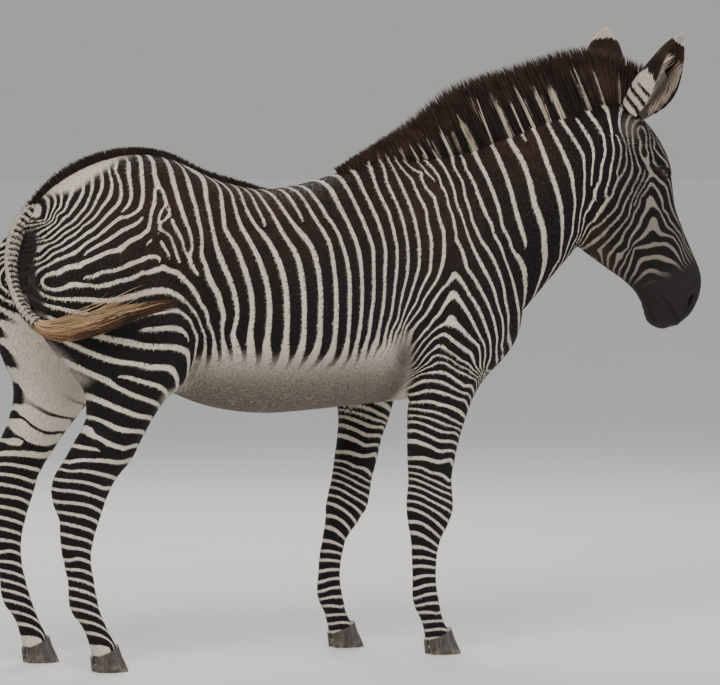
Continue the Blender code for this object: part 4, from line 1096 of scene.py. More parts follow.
def make_hoof(x, y, sides=48):
    """Rings at shares of the way up to the slanted coronet. At angle a a ring reaches front or back *
    cos(a)^(2/fullness) ahead and half width * sin(a)^(2/fullness) aside, as wide as the wall is there."""
    angle = np.linspace(0, 2 * np.pi, sides, endpoint=False)
    cosine, sine = (np.sign(v) * np.abs(v) ** (2 / HOOF_FULLNESS) for v in (np.cos(angle), np.sin(angle)))
    height = HOOF_SHARES[:, None] * np.full(sides, CORONET)
    for _ in range(6):
        shift, front, back, half = (np.interp(height, HOOF_WALL[:, 0], HOOF_WALL[:, k]) for k in range(1, 5))
        ahead = shift + HOOF_LENGTH * np.where(cosine > 0, front, back) * cosine
        height = HOOF_SHARES[:, None] * (CORONET + (ahead + 0.008) * CORONET_SLOPE)
    rings = 0.00035 * np.sin(height * 2 * np.pi / 0.0065 + ahead * 20) * smooth(0.004, 0.012, height)
    heel = 0.005 * smooth(-0.75, -1.0, cosine) * bell(sine / 0.30) * smooth(0.05, 0.02, height)
    out = 1 + (rings - heel * 3) / 0.045
    side = HOOF_WIDTH * half * sine * out
    return np.stack([x + shift + (ahead - shift) * out, y + side, height], 2).reshape(-1, 3), \
        rolled(len(HOOF_SHARES), sides)


def make_horn():
    """Dark grey horn, streaked down the wall, ringed across it, dusty and lighter near the ground."""
    material, tree, shader = new_material("hoof horn", Roughness=0.42, Specular_IOR_Level=0.4)
    place = add(tree, "ShaderNodeTexCoord").outputs["Object"]
    down = add(tree, "ShaderNodeMapping", {"Vector": place, "Scale": (1.0, 1.0, 0.06)}).outputs[0]
    streaks = ranged(tree, noise(tree, down, 260.0, 4.0), 0.35, 0.70)
    across = add(tree, "ShaderNodeMapping", {"Vector": place, "Scale": (0.15, 0.15, 1.0)}).outputs[0]
    bands = ranged(tree, noise(tree, across, 230.0, 2.0), 0.35, 0.65)
    height = add(tree, "ShaderNodeSeparateXYZ", {0: place}).outputs["Z"]
    horn = blended(tree, streaks, rgba(0.030, 0.026, 0.024), rgba(0.100, 0.082, 0.066))
    horn = blended(tree, sum_of(tree, "MULTIPLY", bands, 0.35), horn, rgba(0.055, 0.043, 0.035))
    dust = sum_of(tree, "MULTIPLY", ranged(tree, height, 0.028, 0.0),
                  ranged(tree, noise(tree, place, 60.0), 0.4, 0.7))
    horn = blended(tree, dust, horn, rgba(0.22, 0.18, 0.14))
    tree.links.new(horn, shader.inputs["Base Color"])
    tree.links.new(ranged(tree, dust, 0.0, 1.0, 0.38, 0.75), shader.inputs["Roughness"])
    bump = add(tree, "ShaderNodeBump", {"Strength": 0.35, "Distance": 0.0008,
                                        "Height": sum_of(tree, "ADD", bands, streaks)})
    tree.links.new(bump.outputs[0], shader.inputs["Normal"])
    return material


horn_material = make_horn()
for hoof_name, (hoof_x, hoof_y) in HOOVES.items():
    hoof = piece("horn_" + hoof_name, *make_hoof(hoof_x, hoof_y))
    for end in (-1, -2):
        hoof.data.polygons[end].use_smooth = False
    hoof.data.materials.append(horn_material)
    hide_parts("hoof_" + hoof_name)

# -------------------------------------------------------------------------------------------- eyes
# Two eyeballs set behind the lids: a dark brown iris with a level, oblong pupil under a clear wet cornea.


def on_face(sign, along, across, out):
    """Place on the head from the eye's own directions, on the right where sign is -1."""
    along, across, out = along[:, None], across[:, None], out[:, None]
    way, side, level = (EYE + along * EYE_LONG + across * EYE_BROW + out * EYE_OUT).T
    return head_point(way, sign * side, level)


def make_eyeball(sign, rows=33, columns=48):
    """Ellipsoid in the lids' own directions, a little fuller at the cornea, and each point's place on it."""
    down = np.linspace(0, np.pi, rows)[1:-1, None]
    turn = np.linspace(0, 2 * np.pi, columns, endpoint=False)[None]
    belt = np.stack(np.broadcast_arrays(np.sin(down) * np.cos(turn), np.sin(down) * np.sin(turn),
                                        np.cos(down)), 2)
    place = np.vstack([(0, 0, 1), belt.reshape(-1, 3), (0, 0, -1)])
    full = place * EYE_SIZE * (1 + 0.035 * smooth(0.80, 0.96, place[:, 2]))[:, None]
    points = on_face(sign, *full.T)
    inner = 1 + np.arange((rows - 3) * columns).reshape(rows - 3, columns)
    beside = np.roll(inner, -1, 1)
    walls = np.stack([inner, inner + columns, beside + columns, beside], 2).reshape(-1, 4)
    top = np.stack([0 * inner[0], inner[0], beside[0]], 1)
    last, after = inner[-1] + columns, beside[-1] + columns
    bottom = np.stack([last, 0 * last + len(place) - 1, after], 1)
    return points, outward(points, [walls, top, bottom]), place


def make_eye_glass():
    """Iris, pupil and dark rim from the place on the eyeball, under a wet coat."""
    material, tree, shader = new_material("eye", Roughness=0.30, Coat_Weight=0.5, Coat_Roughness=0.04,
                                          Specular_IOR_Level=0.2)
    place = add(tree, "ShaderNodeAttribute", attribute_name="eye_place").outputs["Vector"]
    along, tall, out = add(tree, "ShaderNodeSeparateXYZ", {0: place}).outputs
    flat = add(tree, "ShaderNodeMapping", {"Vector": place, "Scale": (1.0, 1.0, 0.0)}).outputs[0]
    reach = add(tree, "ShaderNodeVectorMath", {0: flat}, operation="LENGTH").outputs["Value"]
    oblong = add(tree, "ShaderNodeMapping", {"Vector": flat, "Scale": (1.0, 2.1, 0.0)}).outputs[0]
    pupil = ranged(tree, add(tree, "ShaderNodeVectorMath", {0: oblong}, operation="LENGTH").outputs["Value"],
                   0.42, 0.36)
    spokes = ranged(tree, noise(tree, flat, 9.0, 5.0, 0.65), 0.35, 0.70)
    iris = blended(tree, spokes, rgba(0.016, 0.007, 0.004), rgba(0.060, 0.024, 0.011))
    iris = blended(tree, pupil, iris, rgba(0.004, 0.004, 0.006))
    iris = blended(tree, ranged(tree, reach, 0.62, 0.74), iris, rgba(0.012, 0.008, 0.007))
    iris = blended(tree, ranged(tree, reach, 0.80, 0.92), iris, rgba(0.045, 0.022, 0.017))
    tree.links.new(iris, shader.inputs["Base Color"])
    return material


eye_material = make_eye_glass()
for eye_name, eye_sign in (("right", -1), ("left", 1)):
    eye_points, eye_faces, eye_places = make_eyeball(eye_sign)
    eyeball = piece("eyeball_" + eye_name, eye_points, eye_faces)
    layer = eyeball.data.attributes.new("eye_place", "FLOAT_VECTOR", "POINT")
    layer.data.foreach_set("vector", eye_places.astype(np.float32).ravel())
    eyeball.data.materials.append(eye_material)
    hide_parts("eye_" + eye_name)

# -------------------------------------------------------------------------------------------- coat
# Short flat coat over the whole hide: small thin tufts of stiff hair that lie along the body and overlap,
# smallest on the face and feet. Each takes its colour from its root, as the hide under it does.

CHANCE = np.random.default_rng(20)
COAT_DENSITY = 41000  # tufts on a square metre of the body
LEG_DENSITY = 64000
FACE_DENSITY = 92000
TUFT_LIFT = 0.13  # how steeply a tuft leaves the hide
PATCH = 0.003  # size of a tuft's patch on the unwrapped hide


def scatter(points, quads, normals, density):
    """Roots over the faces, as many on each as its area times the density at its middle, and normals."""
    a, b, c, d = (points[quads[:, k]] for k in range(4))
    area = np.linalg.norm(np.cross(c - a, d - b), axis=1) / 2
    total = np.cumsum(area * density(points[quads].mean(1)))
    chosen = np.searchsorted(total, np.arange(CHANCE.random(), total[-1]))
    chosen = np.minimum(chosen, len(quads) - 1)
    u, v = CHANCE.random((2, len(chosen), 1))
    shares = np.stack([(1 - u) * (1 - v), u * (1 - v), u * v, (1 - u) * v], 1)
    roots = (points[quads[chosen]] * shares).sum(1)
    lean = (normals[quads[chosen]] * shares).sum(1)
    return roots, unit(lean)


def make_tufts(roots, normals, ways, lengths, widths, lift):
    """Closed tufts of five points and six faces: a root under the hide, three points round the tuft a third
    of the way along, and a tip. They lie along the way, raised by the lift, and the tip bends back down."""
    across = unit(np.cross(normals, ways))
    lengths, widths, lift = (np.asarray(value, float).reshape(-1, 1) for value in (lengths, widths, lift))
    thick = widths * 0.32
    middle = roots + lengths * 0.33 * (ways + lift * 1.3 * normals)
    tip = roots + lengths * (ways + lift * 0.85 * normals)
    start = roots - 0.0012 * normals
    points = np.stack([start, middle - widths / 2 * across - thick * 0.3 * normals,
                       middle + widths / 2 * across - thick * 0.3 * normals,
                       middle + thick * normals, tip], 1)
    shape = np.array([(0, 2, 1), (0, 3, 2), (0, 1, 3), (4, 1, 2), (4, 2, 3), (4, 3, 1)])
    faces = np.arange(len(roots))[:, None, None] * 5 + shape
    return points.reshape(-1, 3), faces.reshape(-1, 3)


# A tuft's five points on its patch of the unwrapped hide
TUFT_PATCH = np.array([(0.5, 0.0), (0.0, 0.35), (1.0, 0.35), (0.5, 0.40), (0.5, 1.0)])


def unwrapped(mesh, places):
    """The map OFBake, with each point at its place on it."""
    corner = values_of(mesh.loops, "vertex_index", np.int32)
    layer = mesh.uv_layers.new(name="OFBake")
    layer.data.foreach_set("uv", np.clip(places, 0, 1)[corner].astype(np.float32).ravel())


def spread_out(u, v):
    """Two coordinates brought to between 0.01 and 0.985."""
    low, high = (np.array((side(u), side(v))) for side in (np.min, np.max))
    return 0.01 + 0.975 * (np.stack([u, v], 1) - low) / (high - low)


def coat_length(points):
    """Length of the coat's hair: short on the face and feet, longest on the belly and neck."""
    x, y, z = points.T
    way = head_place(points)[0]
    head = head_share(points)
    length = mixed(0.0048, 0.0082, smooth(0.45, 0.95, z))
    length = mixed(length, 0.0110, bell((z - 0.66) / 0.06) * smooth(-0.8, -0.7, x) * smooth(-0.05, -0.15, x))
    length = mixed(length, 0.0090, smooth(0.15, 0.35, x))
    return mixed(length, mixed(0.0065, 0.0034, smooth(0.10, 0.48, way)), head)


def coat_density(points):
    """Tufts on a square metre at each point: more on the legs and most on the head."""
    body = mixed(COAT_DENSITY, LEG_DENSITY, smooth(0.75, 0.45, points[:, 2]))
    return mixed(body, FACE_DENSITY, head_share(points))


def bare(points):
    """1 where no hair grows: inside the lids, in the nostrils and at the soles."""
    place = sided(points)
    nostril = (nostril_place(place)[1] < 1.15) & (place[:, 1] > 0.012)
    slit = (eye_place(place)[3] < 1.32) & (np.linalg.norm(place - EYE, axis=1) < 0.05)
    mouth = (np.abs(mouth_gap(place)[0]) < 0.003) & (place[:, 0] > MOUTH[2])
    return ((head_share(points) > 0.5) & (nostril | slit | mouth)) | (points[:, 2] < 0.03)


fans = [np.array([(ring[0], ring[k], ring[k + 1], ring[k + 1]) for k in range(1, len(ring) - 1)])
        for face in hide_others for ring in face]
roots, root_normals = scatter(hide_points, np.vstack([hide_quads] + fans), hide_normals, coat_density)
kept = ~bare(roots)
roots, root_normals = roots[kept], root_normals[kept]
root_ways = lie_of_hair(roots, root_normals)
stray = CHANCE.normal(0, 0.16, (len(roots), 1))
root_ways = unit(root_ways + stray * np.cross(root_normals, root_ways))
root_number = sum(stripe_number(roots))
root_shares, root_tones = markings(roots, root_normals)
root_length = coat_length(roots) * CHANCE.uniform(0.75, 1.25, len(roots))
root_chance = CHANCE.random(len(roots))


def coat_parts(points):
    """Which piece of the coat each root belongs to, and its place on that piece's unwrapped hide."""
    x, y, z = points.T
    way, side, level = head_place(points)
    from_shoulder = points - (0.185, 0, 1.085)
    right, fore = y < 0, x > MIDDLE
    on_head = head_share(points) > 0.5
    on_leg = ~on_head & (z < 0.60) & (np.abs(y) > 0.03)
    on_neck = ~on_head & ~on_leg & (from_shoulder @ (0.883, 0, 0.469) > 0)
    body = ~on_head & ~on_leg & ~on_neck
    rump = body & (x < -0.60)
    barrel = body & ~rump
    round_body = np.arctan2(np.abs(y), z - 0.92)
    round_neck = np.arctan2(y - 0.02, from_shoulder @ (-0.75, 0, 0.66))
    leg_middle = np.where(fore, np.where(right, -0.02, -0.13), np.where(right, -0.97, -1.04))
    round_leg = np.arctan2(np.abs(y) - 0.135, x - leg_middle) / (2 * np.pi) + 0.5
    leg_map = round_leg * 0.45 + (y > 0) * 0.5
    return {"coat_head": (on_head, np.arctan2(side, level + 0.11), way),
            "coat_neck": (on_neck, round_neck, from_shoulder @ (0.66, 0, 0.75)),
            "coat_barrel_right": (barrel & right, x, round_body),
            "coat_barrel_left": (barrel & ~right, x, round_body),
            "coat_rump_right": (rump & right, x, round_body),
            "coat_rump_left": (rump & ~right, x, round_body),
            "coat_forelegs": (on_leg & fore, leg_map, z), "coat_hindlegs": (on_leg & ~fore, leg_map, z)}


coat_material = hair_material("coat hair", 0.28, 0.25, 900.0)


def coat_piece(name, tufts, marks, chance, places):
    """Piece of the coat from its tufts, with each root's markings, chance number and place on the map."""
    points, faces = tufts
    coat = piece(name, points, [faces])
    mark(coat.data, *(np.repeat(values, len(TUFT_PATCH), 0) for values in (*marks, chance)))
    unwrapped(coat.data, (spread_out(*places)[:, None] + PATCH * TUFT_PATCH).reshape(-1, 2))
    coat.data.materials.append(coat_material)
    return coat


for coat_name, (own, across_map, along_map) in coat_parts(roots).items():
    tufts = make_tufts(roots[own], root_normals[own], root_ways[own], root_length[own],
                       root_length[own] * 0.16 + 0.0007, TUFT_LIFT * CHANCE.uniform(0.6, 1.3, own.sum()))
    coat = coat_piece(coat_name, tufts, (root_number[own], root_shares[own], root_tones[own]),
                      root_chance[own], (across_map[own], along_map[own]))

# ---------------------------------------------------------------------------------- mane and ridge
# The upright mane from the withers to the forelock, and the dark ridge of hair on the rump: a thin core of
# close hair with stiff locks growing through it. The mane keeps the neck's stripes and has dark ends.

# From the withers to the forelock: root x and z, tip x and z, sideways place, half width
MANE = [
    (-0.215, 1.238, -0.220, 1.254, 0.000, 0.008),
    (-0.160, 1.255, -0.168, 1.285, 0.000, 0.014),
    (-0.100, 1.270, -0.116, 1.315, 0.000, 0.020),
    (-0.045, 1.276, -0.078, 1.338, 0.000, 0.024),
    (0.030, 1.278, -0.028, 1.370, 0.002, 0.026),
    (0.098, 1.284, 0.032, 1.412, 0.008, 0.028),
    (0.180, 1.304, 0.102, 1.462, 0.012, 0.028),
    (0.265, 1.336, 0.188, 1.492, 0.018, 0.028),
    (0.380, 1.372, 0.305, 1.520, 0.026, 0.028),
    (0.500, 1.408, 0.432, 1.556, 0.032, 0.028),
    (0.575, 1.422, 0.535, 1.566, 0.035, 0.028),
    (0.615, 1.412, 0.625, 1.546, 0.036, 0.026),
    (0.650, 1.392, 0.700, 1.512, 0.038, 0.022),
    (0.676, 1.365, 0.735, 1.462, 0.040, 0.012),
]
MANE_SINK = 0.018
MANE_LOCKS = 4900
MANE_DARK = 0.062  # length of the dark ends
ROOT_ASIDE, ROOT_BELOW = 0.060, 0.012  # a lock's stripe is read this far beside and below its root
# From the loins to the tail, in the same columns
RIDGE = [
    (-0.400, 1.182, -0.404, 1.192, 0.000, 0.006),
    (-0.480, 1.190, -0.480, 1.218, 0.000, 0.010),
    (-0.600, 1.222, -0.602, 1.252, 0.000, 0.014),
    (-0.700, 1.266, -0.706, 1.298, 0.000, 0.016),
    (-0.800, 1.278, -0.808, 1.310, 0.000, 0.016),
    (-0.900, 1.256, -0.915, 1.290, 0.000, 0.016),
    (-0.990, 1.212, -1.005, 1.244, 0.000, 0.015),
    (-1.050, 1.165, -1.066, 1.188, 0.000, 0.012),
    (-1.078, 1.135, -1.094, 1.152, 0.000, 0.008),
]
RIDGE_SINK = 0.010
RIDGE_LOCKS = 3200
LOCK_SHARES = np.array((0.0, 0.22, 0.45, 0.66, 0.84))  # places of a lock's rings along it
LOCK_FULLNESS = np.array((0.70, 1.0, 0.95, 0.75, 0.42))
CORE_FULLNESS = 2.4
NO_WHITE = -0.25  # white's share where all hair is dark


def lock_faces(count, rings):
    """Quads between the rings of three of each lock, and triangles to the two end points after them."""
    walls = [(3 * r + k, 3 * r + (k + 1) % 3, 3 * r + 3 + (k + 1) % 3, 3 * r + 3 + k)
             for r in range(rings - 1) for k in range(3)]
    caps = [(rings * 3, (k + 1) % 3, k) for k in range(3)]
    caps += [(rings * 3 + 1, 3 * rings - 3 + k, 3 * rings - 3 + (k + 1) % 3) for k in range(3)]
    first = np.arange(count)[:, None, None] * (rings * 3 + 2)
    return [(first + np.array(kind)).reshape(-1, len(kind[0])) for kind in (walls, caps)]


def make_locks(starts, ways, bends, flats, widths, thick=0.45):
    """Closed tapering locks of three sides. At share t a lock's middle is start + t * way + t^2 * bend, and
    its ring reaches half width * fullness to each side of it, and less towards its flat side."""
    t = LOCK_SHARES[None, :, None]
    middle = starts[:, None] + t * ways[:, None] + t ** 2 * bends[:, None]
    across = unit(np.cross(ways, flats))
    out = unit(np.cross(across, ways))
    size = (np.asarray(widths).reshape(-1, 1, 1) / 2) * LOCK_FULLNESS[None, :, None]
    ring = np.stack([middle - size * across[:, None] - size * thick * out[:, None],
                     middle + size * across[:, None] - size * thick * out[:, None],
                     middle + size * 2 * thick * out[:, None]], 2)
    count, rings = len(starts), len(LOCK_SHARES)
    ends = np.stack([starts - 0.02 * ways, starts + ways + bends], 1)
    points = np.concatenate([ring.reshape(count, rings * 3, 3), ends], 1)
    return points.reshape(-1, 3), lock_faces(count, rings), np.r_[np.repeat(LOCK_SHARES, 3), 0.0, 1.0]


def crest(rows, places):
    """The rows of a mane at places from 0 to 1 along its roots."""
    fine = between(rows, 12)
    length = np.r_[0, np.cumsum(np.hypot(*np.diff(fine[:, :2], axis=0).T))]
    return np.stack([np.interp(places * length[-1], length, fine[:, k]) for k in range(6)], 1)


def mane_locks(rows, count, sink, width, curl):
    """Locks spread along the crest and across its width, leaning as the rows do, with uneven tips."""
    place = (np.arange(count) + CHANCE.random(count)) / count
    aside = CHANCE.uniform(-1, 1, count)
    row = crest(rows, place)
    root = np.stack([row[:, 0], row[:, 4] + aside * row[:, 5] * 0.95, row[:, 1]], 1)
    tip = np.stack([row[:, 2], row[:, 4] + aside * row[:, 5] * 0.55, row[:, 3]], 1)
    rise = unit(tip - root)
    tip = tip + rise * (CHANCE.uniform(-0.16, 0.02, count) * np.linalg.norm(tip - root, axis=1))[:, None]
    tip[:, 1] += CHANCE.normal(0, 0.004, count)
    tip[:, 0] += CHANCE.normal(0, 0.006, count)
    root = root - rise * sink * (0.55 + 0.45 * np.abs(aside))[:, None]
    bend = np.stack([-CHANCE.uniform(0.2, 1.0, count) * curl, aside * 0.002, 0 * aside], 1)
    flat = np.stack([0.3 * CHANCE.normal(0, 1, count), np.sign(aside), 0 * aside], 1)
    points, faces, along = make_locks(root, tip - root - bend, bend, flat,
                                      width * CHANCE.uniform(0.7, 1.3, count))
    return points, faces, along, row, aside, place


def hair_map(places, along, half):
    """Places on OFBake for hair: along the crest, and up the lock on its half of the map."""
    u = np.repeat(0.01 + 0.98 * places, len(along))
    v = (0.02 + 0.44 * along)[None] + 0.5 * half[:, None]
    return np.stack([u, v.ravel()], 1)


mane_points, mane_faces, mane_along, mane_row, mane_aside, mane_place = mane_locks(
    MANE, MANE_LOCKS, MANE_SINK, 0.0046, 0.012)
mane_root = np.stack([mane_row[:, 0], mane_row[:, 4] + np.sign(mane_aside) * ROOT_ASIDE,
                      mane_row[:, 1] - ROOT_BELOW], 1)
mane_number = sum(stripe_number(mane_root)) + CHANCE.normal(0, 0.035, MANE_LOCKS)
mane_height = np.hypot(mane_row[:, 2] - mane_row[:, 0], mane_row[:, 3] - mane_row[:, 1])
mane_white = 0.25 - 0.17 * smooth(0.42, 0.56, mane_row[:, 0])


def dark_ends(heights, along, white):
    """White's share along each lock: the root's up to the dark ends, where there is none."""
    from_tip = heights[:, None] * (1 - along[None])
    reach = np.minimum(MANE_DARK, heights * 0.55)[:, None] * CHANCE.uniform(0.75, 1.25, (len(heights), 1))
    return mixed(NO_WHITE, white[:, None], smooth(reach - 0.012, reach + 0.012, from_tip))


def hair_marks(mesh, number, white, brown, soiled_and_shaded, chance):
    """Markings of locks: one stripe number and one chance number for each lock, and shares and tones for
    each of its points."""
    size = white.shape[1]
    tones = np.stack(np.broadcast_arrays(0 * white, brown, soiled_and_shaded, 0.0), 2).reshape(-1, 4)
    mark(mesh, np.repeat(number, size), channels(white, 0.0).reshape(-1, 4), tones, np.repeat(chance, size))


mane_material = hair_material("mane hair", 0.60, 0.2, 1200.0, Brown=rgba(0.044, 0.024, 0.016),
                              White=rgba(0.54, 0.45, 0.35), Wander=0.16, Softness=0.07)
mane = piece("mane_hair", mane_points, mane_faces)
mane_share = dark_ends(mane_height, mane_along, mane_white)
hair_marks(mane.data, mane_number, mane_share, 0.75 * (mane_share < 0.1) + 0.25, 0.25,
           CHANCE.random(MANE_LOCKS))
unwrapped(mane.data, hair_map(mane_place, mane_along, mane_aside > 0))
mane.data.materials.append(mane_material)


def make_core(rows, low, high, narrow, sides=16, columns=120):
    """Closed blade of close hair: at each place along the crest a narrow ring from `low` to `high` of the
    way from root to tip, cos(a) of the half width across and sin(a)^(2/fullness) of its half height up."""
    row = crest(rows, np.linspace(0, 1, columns))
    angle = np.linspace(0, 2 * np.pi, sides, endpoint=False)
    up = np.sign(np.sin(angle)) * np.abs(np.sin(angle)) ** (2 / CORE_FULLNESS)
    share = (low + high) / 2 + (high - low) / 2 * up
    x = row[:, :1] + (row[:, 2:3] - row[:, :1]) * share
    z = row[:, 1:2] + (row[:, 3:4] - row[:, 1:2]) * share
    y = row[:, 4:5] + row[:, 5:6] * narrow * np.cos(angle) * (1 - 0.45 * np.clip(share, 0, 1))
    return np.stack([x, y, z], 2).reshape(-1, 3), rolled(columns, sides), np.tile(share, (columns, 1)), row


def core_piece(name, rows, low, high, narrow, brown, striped):
    """The core of a mane or ridge, with the neck's stripes or all dark."""
    points, faces, share, row = make_core(rows, low, high, narrow)
    obj = piece(name, points, outward(points, faces))
    under = np.stack([row[:, 0], row[:, 4] + ROOT_ASIDE, row[:, 1] - ROOT_BELOW], 1)
    height = np.hypot(row[:, 2] - row[:, 0], row[:, 3] - row[:, 1])
    white = dark_ends(height, share[0], 0.27 + 0 * height) if striped else NO_WHITE + 0 * share
    hair_marks(obj.data, sum(stripe_number(under)), white, brown, 0.3, 0 * height + 0.3)
    obj.data.materials.append(mane_material)
    return obj


mane_core = core_piece("mane_core", MANE, -0.10, 0.80, 0.75, 0.6, True)
for part in (mane, mane_core):
    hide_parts("mane")

ridge_points, ridge_faces, ridge_along, ridge_row, ridge_aside, ridge_place = mane_locks(
    RIDGE, RIDGE_LOCKS, RIDGE_SINK, 0.0042, 0.006)
ridge = piece("ridge_hair", ridge_points, ridge_faces)
hair_marks(ridge.data, np.zeros(RIDGE_LOCKS), np.full((RIDGE_LOCKS, len(ridge_along)), NO_WHITE), 0.45, 0.2,
           CHANCE.random(RIDGE_LOCKS))
unwrapped(ridge.data, hair_map(ridge_place, ridge_along, ridge_aside > 0))
ridge.data.materials.append(mane_material)
ridge_core = core_piece("ridge_core", RIDGE, -0.2, 0.62, 0.8, 0.5, False)
for part in (ridge, ridge_core):
    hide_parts("back_ridge")

# ------------------------------------------------------------------------------------------ lashes
# Stiff dark lashes along the edge of each upper lid, curving out and down over the eye.

LASHES, LASH_WIDTH = 54, 0.0009
lash_turn = np.radians(np.linspace(12, 168, LASHES)) + CHANCE.normal(0, 0.02, LASHES)
lash_along = EYE_SLIT[0] * np.sign(np.cos(lash_turn)) * np.abs(np.cos(lash_turn)) ** 1.25
lash_across = EYE_SLIT[1] * np.abs(np.sin(lash_turn)) ** 1.25 + 0.0006
lash_out = eyeball_height(lash_along, lash_across, 0.0022)
lash_span = 0.009 + 0.004 * np.sin(lash_turn) + CHANCE.normal(0, 0.001, LASHES)

for eye_name, eye_sign in (("right", -1), ("left", 1)):
    start = on_face(eye_sign, lash_along, lash_across, lash_out)
    half_way = on_face(eye_sign, lash_along * 1.10, lash_across - 0.0005, lash_out + lash_span * 0.6)
    end = on_face(eye_sign, lash_along * 1.18, lash_across - 0.0040, lash_out + lash_span)
    bend = 2 * (end - 2 * half_way + start)
    lash_points, lash_faces, lash_places = make_locks(start, end - start - bend, bend, half_way - start,
                                                      np.full(LASHES, LASH_WIDTH))
    lashes = piece("lashes_" + eye_name, lash_points, lash_faces)
    hair_marks(lashes.data, np.zeros(LASHES), np.full((LASHES, len(lash_places)), NO_WHITE), 0.2, 0.2,
               CHANCE.random(LASHES))
    lashes.data.materials.append(mane_material)

# -------------------------------------------------------------------------------------------- tail
# The dock, white with fine dark bars across its sides, hangs from the rump and swings to the right; the
# tuft of long fair hair at its end blows forwards across the thigh.

TAIL = [
    (-1.020, 0.000, 1.140, 0.022),
    (-1.068, 0.000, 1.143, 0.026),
    (-1.112, -0.006, 1.098, 0.022),
    (-1.136, -0.022, 1.024, 0.018),
    (-1.142, -0.062, 0.955, 0.016),
    (-1.136, -0.115, 0.902, 0.016),
    (-1.114, -0.165, 0.866, 0.018),
    (-1.085, -0.215, 0.858, 0.028),
    (-1.038, -0.260, 0.868, 0.030),
    (-0.970, -0.290, 0.888, 0.022),
    (-0.909, -0.304, 0.906, 0.013),
    (-0.850, -0.311, 0.916, 0.007),
    (-0.806, -0.313, 0.918, 0.004),
]
DOCK_ROWS = 7
DOCK_DENSITY = 90000  # tufts on a square metre
BAR_SPACING = 0.0155
TUFT_STRANDS = 900


def carried(rows, steps):
    """Middles, radii, lengths so far and two cross directions along a smooth curve through the rows."""
    fine = between(rows, steps)
    ahead = unit(np.gradient(fine[:, :3], axis=0))
    side = unit(np.cross(ahead, np.array((0.0, 0.35, 0.94))))
    out = np.cross(side, ahead)
    length = np.r_[0, np.cumsum(np.linalg.norm(np.diff(fine[:, :3], axis=0), axis=1))]
    return fine[:, :3], fine[:, 3], length, side, out


def make_dock(sides=32):
    """Tube round the tail's first rows, rounded off at its end, and how far along it each point lies."""
    middle, radius, length, side, out = carried(TAIL[:DOCK_ROWS], 16)
    radius = radius - COAT_DEPTH
    radius = radius * np.sqrt(np.clip((length[-1] + 0.004 - length) / 0.018, 0.05, 1))
    angle = np.linspace(0, 2 * np.pi, sides, endpoint=False)[None, :, None]
    ring = np.cos(angle) * side[:, None] + np.sin(angle) * out[:, None]
    points = (middle[:, None] + radius[:, None, None] * ring).reshape(-1, 3)
    return points, rolled(len(middle), sides), np.repeat(length, sides)


def dock_marks(length, normals):
    """Stripe number of the bars, with white's share, and painted shade on the underside and on the side
    facing the buttock, over the underside's dark bare skin.
    """
    # painted shade: dark tone on the underside and on the side facing the buttock, over some bare skin
    under = smooth(-0.10, -0.65, normals[:, 2]) * smooth(0.05, 0.09, length)
    inner = smooth(0.35, 0.80, normals @ np.array((0.95, 0.2, -0.2))) * smooth(0.06, 0.10, length)
    top = smooth(0.60, 0.90, normals @ np.array((-0.80, 0.10, 0.60)))
    dark = np.maximum(under, inner) * 0.75
    tones = np.stack(np.broadcast_arrays(dark, 0.0, 0.25, 0.0), 1)
    return length / BAR_SPACING, channels(mixed(0.46, 1.10, top), 0.0), tones


dock_points, dock_faces, dock_length = make_dock()
dock_faces = outward(dock_points, dock_faces)
dock_quads = dock_faces[0]
dock_normals = normals_of(dock_points, dock_quads)
dock = piece("tail_dock_hide", dock_points, dock_faces)
mark(dock.data, *dock_marks(dock_length, dock_normals))
dock.data.materials.append(hide.data.materials[0])
dock_roots, dock_lean = scatter(dock_points, dock_quads, dock_normals, lambda places: DOCK_DENSITY)
dock_middle, dock_radius, dock_run, dock_side, dock_out = carried(TAIL[:DOCK_ROWS], 16)
nearest = np.argmin(((dock_roots[:, None] - dock_middle[None]) ** 2).sum(2), 1)
dock_way = unit(np.gradient(dock_middle, axis=0))[nearest]
dock_way = unit(dock_way - (dock_way * dock_lean).sum(1, keepdims=True) * dock_lean)
dock_tufts = make_tufts(dock_roots, dock_lean, dock_way, CHANCE.uniform(0.006, 0.010, len(dock_roots)),
                        0.0019, 0.16)
off = dock_roots - dock_middle[nearest]
dock_round = np.arctan2((off * dock_side[nearest]).sum(1), (off * dock_out[nearest]).sum(1))
dock_coat = coat_piece("coat_tail", dock_tufts, dock_marks(dock_run[nearest], dock_lean),
                       CHANCE.random(len(dock_roots)), (dock_run[nearest], dock_round))
for part in (dock, dock_coat):
    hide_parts("tail_dock")


